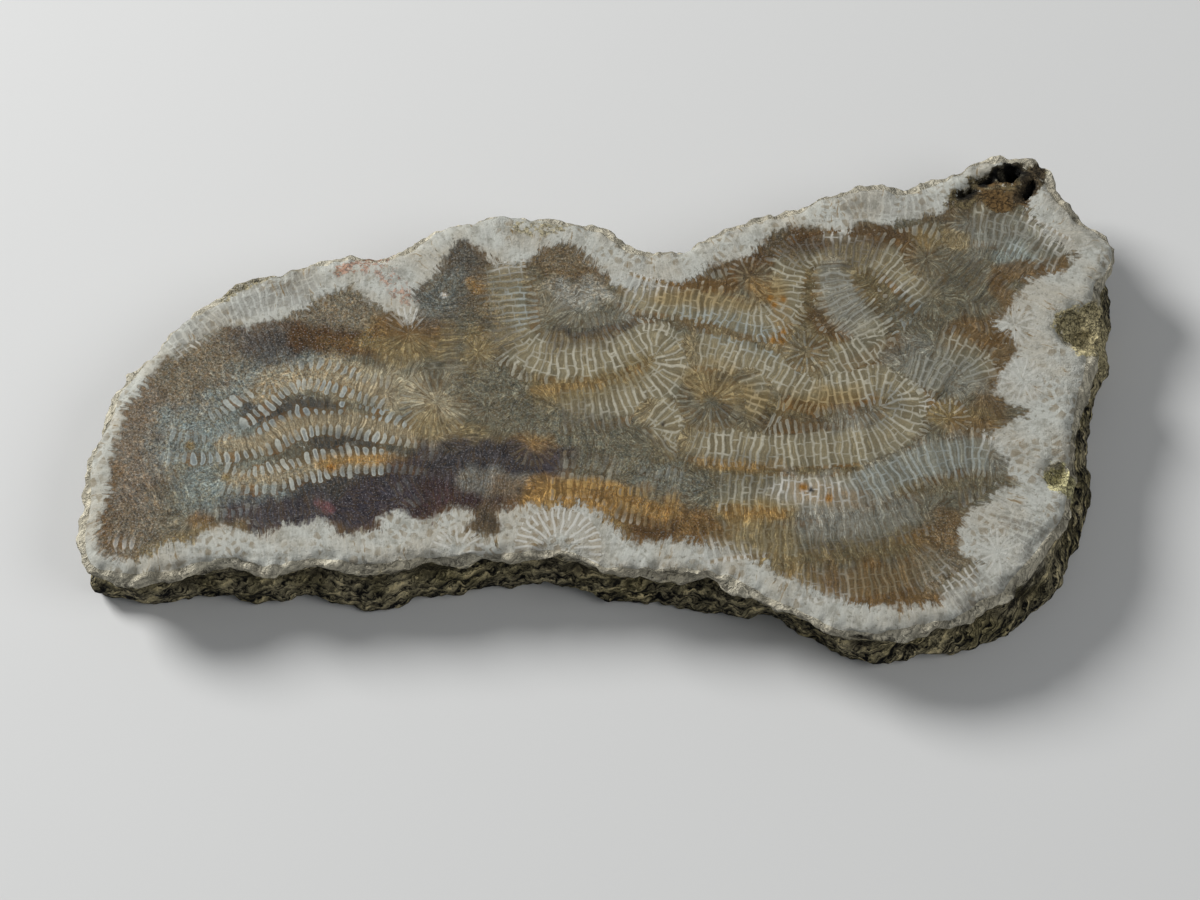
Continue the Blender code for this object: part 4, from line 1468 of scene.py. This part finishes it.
def mark_cells(graph, given, made, row, to_septum, septum, quick):
    """Lines of the ladders of cells: the septa and the bars that join them."""
    chance = graph.random(row["number"], graph.add(row["level"], ROW_SEED))
    columns = graph.add(graph.scaled(given["Away"], 1.0 / CELL_STEP), graph.scaled(chance, 1.2))
    columns = graph.add(columns, graph.scaled(quick, 0.25))
    to_bar = graph.scaled(graph.math("PINGPONG", columns, 0.5), CELL_STEP)
    rung = graph.math("SUBTRACT", to_septum, graph.scaled(septum, 0.07, 0.07))
    bar = graph.math("SUBTRACT", to_bar, graph.scaled(chance, 0.12, -0.03))
    edge = graph.math("SMOOTH_MIN", rung, bar, 0.2)
    edge = graph.add(edge, graph.scaled(quick, 0.12))
    graph.feed(made["Lines"], graph.ramp(edge, 0.15, -0.06))
    net = graph.add(given["Net"], graph.scaled(chance, 0.7, -0.35))
    graph.feed(made["Net Zone"], graph.ramp(net, -0.2, 0.2))
    graph.feed(made["Cell"], graph.random(row["number"], graph.math("FLOOR", columns)))


def mark_leaves(graph, given, made, number, to_septum, septum):
    """The septa's leaf-shaped tips, their cores and the gaps between them."""
    base = graph.scaled(given["Net"], -1.0)
    tip = graph.add(given["Tip"], graph.scaled(septum, 0.9, -0.55))
    rounding = graph.math("SQRT", graph.math("MULTIPLY", tip, 3.4, clamp=True))
    widest = graph.scaled(given["Swelling"], 0.22, 0.15)
    widest = graph.times(widest, graph.scaled(septum, 0.2, 0.88))
    half = graph.times(graph.ramp(base, -0.3, 0.5, 0.12, widest), rounding)
    inward = graph.math("SUBTRACT", to_septum, half)
    body = graph.ramp(inward, 0.08, -0.06)
    reach = graph.times(graph.ramp(tip, -0.02, 0.12), graph.ramp(base, -0.3, 0.1))
    graph.feed(made["Leaf"], graph.times(body, reach))
    beside = graph.times(graph.ramp(tip, -0.3, 0.1), graph.ramp(base, -0.3, 0.2))
    graph.feed(made["Gap"], graph.times(graph.scaled(body, -1.0, 1.0), beside))
    core = graph.ramp(inward, -0.13, -0.21)
    core = graph.times(core, graph.times(graph.ramp(tip, 0.12, 0.35), graph.ramp(base, 0.1, 0.5)))
    picked = graph.random(number, CORE_SEED)
    graph.feed(made["Core"], graph.times(core, graph.ramp(picked, 0.3, 0.6, 0.1, 1.0)))


def mark_fibres(graph, given, made, run):
    """Streaks and fine hairs that run the way the septa do."""
    spread = {"X": graph.scaled(run, 1.5), "Y": graph.scaled(given["Away"], 0.22)}
    stretched = graph.node("ShaderNodeCombineXYZ", spread).outputs[0]
    graph.feed(made["Fibre"], graph.noise(stretched, 1.0, 3.0, 0.65))
    strand = graph.noise(stretched, 0.8, 1.0)
    graph.feed(made["Brown Hair"], graph.hairs(strand, 0.5, 0.05))
    graph.feed(made["Pale Hair"], graph.hairs(strand, 0.6, 0.04))


def septa_group():
    """Masks of the septa pattern from the pattern maps.

    Septa stand a step apart, and double or merge where the guide's bends stretch or squeeze them.
    Bars join them inside the net and make its cells; outside it the septa swell into leaves.
    """
    inputs = [("Place", VECTOR), *((name, FLOAT) for name in PATTERN_VALUES)]
    graph, given, made = new_group("septa_pattern", inputs, [(name, FLOAT) for name in PATTERN_MARKS])
    slow = graph.sway(given["Place"], 1.0, 3.2, 1.0)
    quick = graph.sway(given["Place"], 1.0, 0.9, 2.0)
    along = graph.add(given["Along"], graph.add(graph.scaled(slow, 1.3), graph.scaled(quick, 0.3)))
    level = graph.math("POWER", 2.0, graph.math("ROUND", graph.math("LOGARITHM", given["Stretch"], 2.0)))
    rows = graph.times(graph.scaled(along, 1.0 / SEPTUM_STEP), level)
    step = graph.scaled(graph.math("DIVIDE", given["Stretch"], level), SEPTUM_STEP)
    number = graph.math("ROUND", rows)
    septum = graph.random(number, graph.add(level, SEPTUM_SEED))
    to_septum = graph.times(graph.math("PINGPONG", rows, 0.5), step)
    graph.feed(made["Septum"], septum)
    row = {"number": graph.math("FLOOR", rows), "level": level}
    mark_cells(graph, given, made, row, to_septum, septum, quick)
    mark_leaves(graph, given, made, number, to_septum, septum)
    mark_fibres(graph, given, made, graph.times(along, level))
    return graph.tree


def new_material(name):
    """A new material, its graph and its shader."""
    material = bpy.data.materials.new(name)
    material.use_nodes = True
    graph = Graph(material.node_tree)
    shader = material.node_tree.nodes["Principled BSDF"]
    return material, graph, shader


def ground_colour(graph, place, marks):
    """The painted ground, broken up by fibres along the septa and by fine grain."""
    painted = graph.attribute("ground")
    grain = painted.outputs["Alpha"]
    smoothness = graph.scaled(grain, -0.5, 1.0)
    mottle = graph.noise(place, 2.4, 4.0, 0.6)
    speck = graph.noise(place, 0.3, 3.0, 0.75)
    tint = graph.noise(place, 0.55, 2.0, 0.6)
    worms = graph.hairs(graph.noise(place, 0.75, 1.0), 0.5, 0.05)
    shade = graph.ramp(mottle, 0.25, 0.75, 0.78, 1.22)
    fibre = graph.times(graph.scaled(marks["Fibre"], 3.4, -1.7), smoothness)
    shade = graph.times(shade, graph.add(fibre, 1.0))
    shade = graph.times(shade, graph.math("MULTIPLY_ADD", graph.scaled(speck, 4.0, -2.0), grain, 1.0))
    shade = graph.times(shade, graph.scaled(graph.times(marks["Pale Hair"], smoothness), 0.9, 1.0))
    shade = graph.times(shade, graph.scaled(graph.times(worms, grain), 0.4, 1.0))
    tone = graph.shaded(painted.outputs["Color"], shade)
    reddened = graph.mix(1.0, tone, "warm_tint", "MULTIPLY")
    cooled = graph.mix(1.0, tone, "cool_tint", "MULTIPLY")
    tone = graph.mix(graph.times(graph.ramp(tint, 0.52, 0.64), grain), tone, reddened)
    tone = graph.mix(graph.times(graph.ramp(tint, 0.48, 0.36), grain), tone, cooled)
    crystals = graph.times(graph.ramp(graph.noise(place, 0.26, 1.0), 0.58, 0.7), grain)
    tone = graph.shaded(tone, graph.scaled(crystals, 0.35, 1.0))
    tone = graph.mix(graph.scaled(crystals, 0.35), tone, "crystal")
    hairs = graph.scaled(graph.times(marks["Brown Hair"], smoothness), 0.5)
    return graph.mix(hairs, tone, "line_brown")


def coral_colour(graph, place, marks, shown, ground):
    """The ground with the ladders of cells and the leaf-shaped tips drawn over it."""
    painted = graph.attribute("septa_tone")
    contrast = painted.outputs["Alpha"]
    rusty = graph.noise(place, 2.0, 2.0)
    speck = graph.noise(place, 0.5, 2.0)
    net_shown = graph.times(shown[0], marks["Net Zone"])
    patches = graph.ramp(graph.noise(place, 4.5, 2.0), 0.35, 0.6, 0.35, 1.0)
    leaf_shown = graph.times(graph.times(shown[1], contrast), patches)
    fill = graph.shaded(painted.outputs["Color"], graph.ramp(marks["Cell"], 0.0, 1.0, 0.4, 0.62))
    fill = graph.mix(1.0, fill, "fill_tint", "MULTIPLY")
    tone = graph.mix(graph.scaled(graph.times(net_shown, contrast), 0.62), ground, fill)
    shade = graph.times(graph.ramp(speck, 0.3, 0.7, 0.85, 1.15), graph.scaled(marks["Septum"], 0.35, 0.82))
    bright = graph.shaded(painted.outputs["Color"], shade)
    tone = graph.mix(graph.times(graph.times(marks["Lines"], net_shown), contrast), tone, bright)
    line = graph.mix(graph.ramp(rusty, 0.48, 0.66), "line_brown", "line_rust")
    tone = graph.mix(graph.scaled(graph.times(marks["Gap"], leaf_shown), 0.7), tone, line)
    tone = graph.mix(graph.scaled(graph.times(marks["Leaf"], leaf_shown), 0.9), tone, bright)
    return graph.mix(graph.scaled(graph.times(marks["Core"], leaf_shown), 0.75), tone, "core_grey")


def rim_mask(graph, place, marks, inset):
    """1 on the chalky rim and 0 inside it, with an edge frayed along the septa."""
    ragged = graph.add(inset, graph.sway(place, 2.4, 1.8, 2.0))
    reach = graph.ramp(graph.noise(place, 4.0, 1.0), 0.35, 0.65, 1.0, 6.0)
    ragged = graph.add(ragged, graph.times(graph.scaled(marks["Fibre"], 1.0, -0.5), reach))
    ragged = graph.add(ragged, graph.sway(place, 2.4, 0.6, 3.0))
    return graph.ramp(ragged, 1.1, 0.0)


def stained_and_shadowed(graph, place, tone):
    """Lays the stains and the painted shadow of the corner hollow over a tone, with broken edges."""
    stain_and_shadow = graph.attribute("stain_and_shadow")
    broken = graph.add(stain_and_shadow.outputs["Alpha"], graph.sway(place, 2.4, 0.9, 4.0, 0.7))
    cover = graph.times(graph.ramp(broken, 0.3, 0.55), graph.ramp(stain_and_shadow.outputs["Alpha"], 0.05, 0.6))
    shade = graph.ramp(graph.noise(place, 0.5, 3.0, 0.6), 0.3, 0.7, 0.5, 1.5)
    crack = graph.distance(graph.noise(place, 1.2, 4.0, 0.65))
    shade = graph.times(shade, graph.ramp(crack, 0.0, 0.05, 0.2, 1.0))
    return graph.mix(cover, tone, graph.shaded(stain_and_shadow.outputs["Color"], shade)), cover


def rim_colour(graph, place, marks, shown, inset, white):
    """Chalk with pores and flecks, and with the septa's cells and tips showing faintly in it."""
    cells = graph.times(graph.times(graph.scaled(marks["Lines"], -1.0, 1.0), marks["Net Zone"]), shown[0])
    patches = graph.ramp(graph.noise(place, 3.0, 2.0), 0.4, 0.6, 0.0, 0.8)
    flecks = graph.times(graph.ramp(marks["Fibre"], 0.58, 0.68), patches)
    streaked = graph.shaded(white, graph.ramp(marks["Fibre"], 0.3, 0.7, 0.88, 1.08))
    porous = graph.ramp(graph.noise(place, 5.0, 2.0), 0.46, 0.6, 0.0, 0.65)
    pores = graph.times(graph.ramp(graph.cell_depth(place, 1.4), 0.12, 0.24), porous)
    tone = graph.mix(pores, streaked, "pore")
    tone = graph.mix(graph.scaled(cells, 0.55), tone, "dim")
    tone = graph.mix(flecks, tone, "fleck")
    tips = graph.times(graph.ramp(shown[1], 0.1, 0.9), graph.ramp(inset, -6.0, -1.0, 0.3, 0.9))
    tone = graph.mix(graph.times(marks["Gap"], tips), tone, "fleck")
    tufts = graph.times(marks["Leaf"], graph.ramp(shown[1], 0.12, 0.36, 0.0, 0.8))
    tone = graph.mix(tufts, tone, "white")
    return graph.mix(graph.scaled(marks["Pale Hair"], 0.3), tone, "white")


def polished_face(chalk, septa):
    """Polished coral inside the chalky rim."""
    material, graph, shader = new_material("polished_coral")
    place = graph.millimetres()
    pattern = graph.attribute("pattern")
    shown = graph.node("ShaderNodeSeparateColor", {"Color": pattern.outputs["Color"]}).outputs
    values = (*graph.uv("septa")[:2], *graph.uv("zones")[:2], shown[2], pattern.outputs["Alpha"])
    marks = use_group(graph, septa, {"Place": place, **dict(zip(PATTERN_VALUES, values))})
    inset = graph.attribute("inset").outputs["Fac"]
    ground = ground_colour(graph, place, marks)
    fringe = graph.ramp(graph.noise(place, 2.4, 2.0), 0.45, 0.65, 0.0, 0.5)
    ground = graph.mix(graph.times(graph.ramp(inset, 2.4, 0.2), fringe), ground, "rust")
    coral = coral_colour(graph, place, marks, shown, ground)
    chalky = rim_mask(graph, place, marks, inset)
    white = use_group(graph, chalk, {"Place": place})
    tone = graph.mix(chalky, coral, rim_colour(graph, place, marks, shown, inset, white["Colour"]))
    tone, stain_and_shadow = stained_and_shadowed(graph, place, tone)
    graph.feed(shader.inputs["Base Color"], tone)
    dull = graph.math("MAXIMUM", chalky, stain_and_shadow)
    graph.feed(shader.inputs["Roughness"], graph.ramp(dull, 0.0, 1.0, 0.45, 0.88))
    shader.inputs["Specular IOR Level"].default_value = 0.16
    crusty = graph.times(dull, graph.ramp(inset, -6.5, -1.0, 1.0, 0.3))
    height = graph.add(graph.scaled(marks["Lines"], 0.06), graph.times(white["Height"], crusty))
    graph.bump(shader, height, 0.8, 0.3)
    return material


def laminae(graph, place):
    """A noise drawn out along the stone's leaning layers, and the creases between them."""
    across, deep, level = graph.split(place)[:3]
    tilt = graph.ramp(across, 20.0, 50.0, 0.12, 0.5)
    sloped = graph.add(graph.times(graph.add(across, deep), tilt), graph.scaled(level, -0.9))
    sloped = graph.add(sloped, graph.scaled(graph.noise(place, 1.6, 3.0), 2.4))
    run = graph.scaled(graph.math("SUBTRACT", across, deep), 0.25)
    leaning = graph.node("ShaderNodeCombineXYZ", {"X": graph.scaled(sloped, 1.1), "Y": run}).outputs[0]
    crease = graph.distance(graph.noise(leaning, 0.8, 2.0))
    return graph.noise(leaning, 1.0, 4.0, 0.6), graph.ramp(crease, 0.0, 0.1, 0.0, 0.2)


def wall_colour(graph, place, height, white):
    """Limestone with painted light and shade that follow its relief, darker towards the bottom, and with a
    chalky lip made paler with painted light.
    """
    level = graph.split(place)[2]
    lip = graph.add(level, graph.sway(place, 9.0, 3.0, 4.0, 0.65))
    tone = graph.mix(graph.ramp(graph.noise(place, 7.0, 3.0), 0.35, 0.65), "limestone", "olive_stone")
    # Painted highlight: the high parts of the relief are mixed towards a pale tone, as if lit.
    tone = graph.mix(graph.ramp(height, 1.12, 1.45, 0.0, 0.8), tone, "crest_highlight")
    # Chalky crust towards the lip, mixed with a paler tone as painted light on the lip, which faces
    # sideways.
    tone = graph.mix(graph.ramp(lip, 7.6, 11.4), tone, graph.mix(0.6, white, "lip_crust_and_light"))
    # Painted light and shade: the tone is darkened in the low parts of the relief and lightened on its
    # high parts, less strongly near the lip, and darkened towards the bottom of the wall.
    contrast = graph.ramp(lip, 8.6, 12.0, 1.0, 0.45)
    shade = graph.times(graph.ramp(height, 0.78, 1.5, -1.0, 1.15), contrast)
    tone = graph.shaded(tone, graph.add(shade, graph.ramp(lip, 0.0, 8.0, 0.7, 1.0)))
    # Painted shade: where the relief is pushed in, the tone is darkened towards near-black, less so near
    # the lip.
    relief = graph.attribute("relief").outputs["Fac"]
    hollow = graph.times(graph.ramp(relief, 0.0, -1.0, 0.0, 0.7), graph.ramp(lip, 9.0, 12.0, 1.0, 0.1))
    return graph.mix(hollow, tone, "pit_shade")


def weathered_wall(chalk):
    """Rough limestone of the slab's edge: laminae, pits darkened with painted shade, and a chalky lip made
    paler with painted light.
    """
    material, graph, shader = new_material("weathered_wall")
    place = graph.millimetres()
    fine = graph.noise(place, 0.8, 4.0, 0.65)
    lamina, crease = laminae(graph, place)
    grit = graph.noise(place, 0.4, 3.0, 0.7)
    height = graph.add(graph.scaled(lamina, 1.1), graph.scaled(grit, 0.2))
    height = graph.add(graph.add(graph.scaled(fine, 0.6), height), crease)
    white = use_group(graph, chalk, {"Place": place})
    tone, _ = stained_and_shadowed(graph, place, wall_colour(graph, place, height, white["Colour"]))
    graph.feed(shader.inputs["Base Color"], tone)
    graph.feed(shader.inputs["Roughness"], graph.ramp(fine, 0.3, 0.7, 0.95, 0.8))
    shader.inputs["Specular IOR Level"].default_value = 0.2
    graph.bump(shader, height, 1.0, 1.1)
    return material


def sawn_back():
    """Plain sawn limestone."""
    material, graph, shader = new_material("sawn_back")
    place = graph.millimetres()
    broad = graph.noise(place, 9.0, 4.0)
    fine = graph.noise(place, 0.8, 3.0)
    tone = graph.mix(graph.ramp(broad, 0.35, 0.65), "limestone", "brown_grey")
    tone = graph.mix(graph.ramp(fine, 0.5, 0.7, 0.0, 0.5), tone, "chalk")
    graph.feed(shader.inputs["Base Color"], tone)
    graph.feed(shader.inputs["Roughness"], graph.ramp(fine, 0.3, 0.7, 0.6, 0.8))
    return material


def give_materials(piece):
    chalk = chalk_group()
    for material in (polished_face(chalk, septa_group()), weathered_wall(chalk), sawn_back()):
        piece.data.materials.append(material)


# ---------------------------------------------------------------- stage, light and camera
# The stage is in metres. Each lamp has a name, a place, a size and a power, and faces the slab.
FLOOR_SIZE = 3.0
FLOOR_COLOUR = (0.62, 0.62, 0.61, 1.0)
FLOOR_ROUGHNESS = 0.8
LAMPS = (("window", (-0.72, 0.45, 0.6), 0.4, 13.0), ("fill", (0.7, -0.25, 0.8), 0.7, 3.0))
ROOM_COLOUR = (0.9, 0.95, 1.0, 1.0)
ROOM_STRENGTH = 0.18


def add_floor():
    bpy.ops.mesh.primitive_plane_add(size=FLOOR_SIZE, location=(0.0, 0.0, 0.0))
    floor = bpy.context.object
    floor.name = "floor"
    material, _, shader = new_material("pale_floor")
    shader.inputs["Base Color"].default_value = FLOOR_COLOUR
    shader.inputs["Roughness"].default_value = FLOOR_ROUGHNESS
    floor.data.materials.append(material)


def add_area_light(name, place, size, power):
    light = bpy.data.lights.new(name, "AREA")
    light.shape = "DISK"
    light.size = size
    light.energy = power
    lamp = bpy.data.objects.new(name, light)
    lamp.location = place
    lamp.rotation_euler = (-Vector(place)).to_track_quat("-Z", "Y").to_euler()
    bpy.context.scene.collection.objects.link(lamp)


def light_stage():
    for lamp in LAMPS:
        add_area_light(*lamp)
    world = bpy.data.worlds.new("room")
    world.use_nodes = True
    backdrop = world.node_tree.nodes["Background"].inputs
    backdrop["Color"].default_value = ROOM_COLOUR
    backdrop["Strength"].default_value = ROOM_STRENGTH
    bpy.context.scene.world = world
    bpy.context.scene.view_settings.view_transform = "Standard"


def add_camera():
    camera = bpy.data.cameras.new("camera")
    camera.lens = LENS_LENGTH
    camera.sensor_width = SENSOR_WIDTH
    view = bpy.data.objects.new("camera", camera)
    back = Vector((0.0, -math.cos(CAMERA_ELEVATION), math.sin(CAMERA_ELEVATION)))
    view.location = (Vector(AIM_POINT) + back * CAMERA_DISTANCE) * MM
    view.rotation_euler = (math.pi / 2 - CAMERA_ELEVATION, 0.0, 0.0)
    bpy.context.scene.collection.objects.link(view)
    bpy.context.scene.camera = view


def build_stone():
    """The finished slab, in place of the CAD one."""
    piece = slab_copy()
    give_materials(piece)
    mark_parts(piece)
    refine_wall(piece)
    weather_wall(piece)
    fill_face(piece)
    round_lip(piece)
    untangle_wall(piece)
    lay_pattern(piece)
    paint_face(piece)
    lay_atlas(piece)
    select_only(piece)
    bpy.ops.object.shade_smooth_by_angle(angle=SMOOTH_ANGLE)
    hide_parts("coral_slab")
    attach(piece, "root")


build_stone()
add_floor()
light_stage()
add_camera()
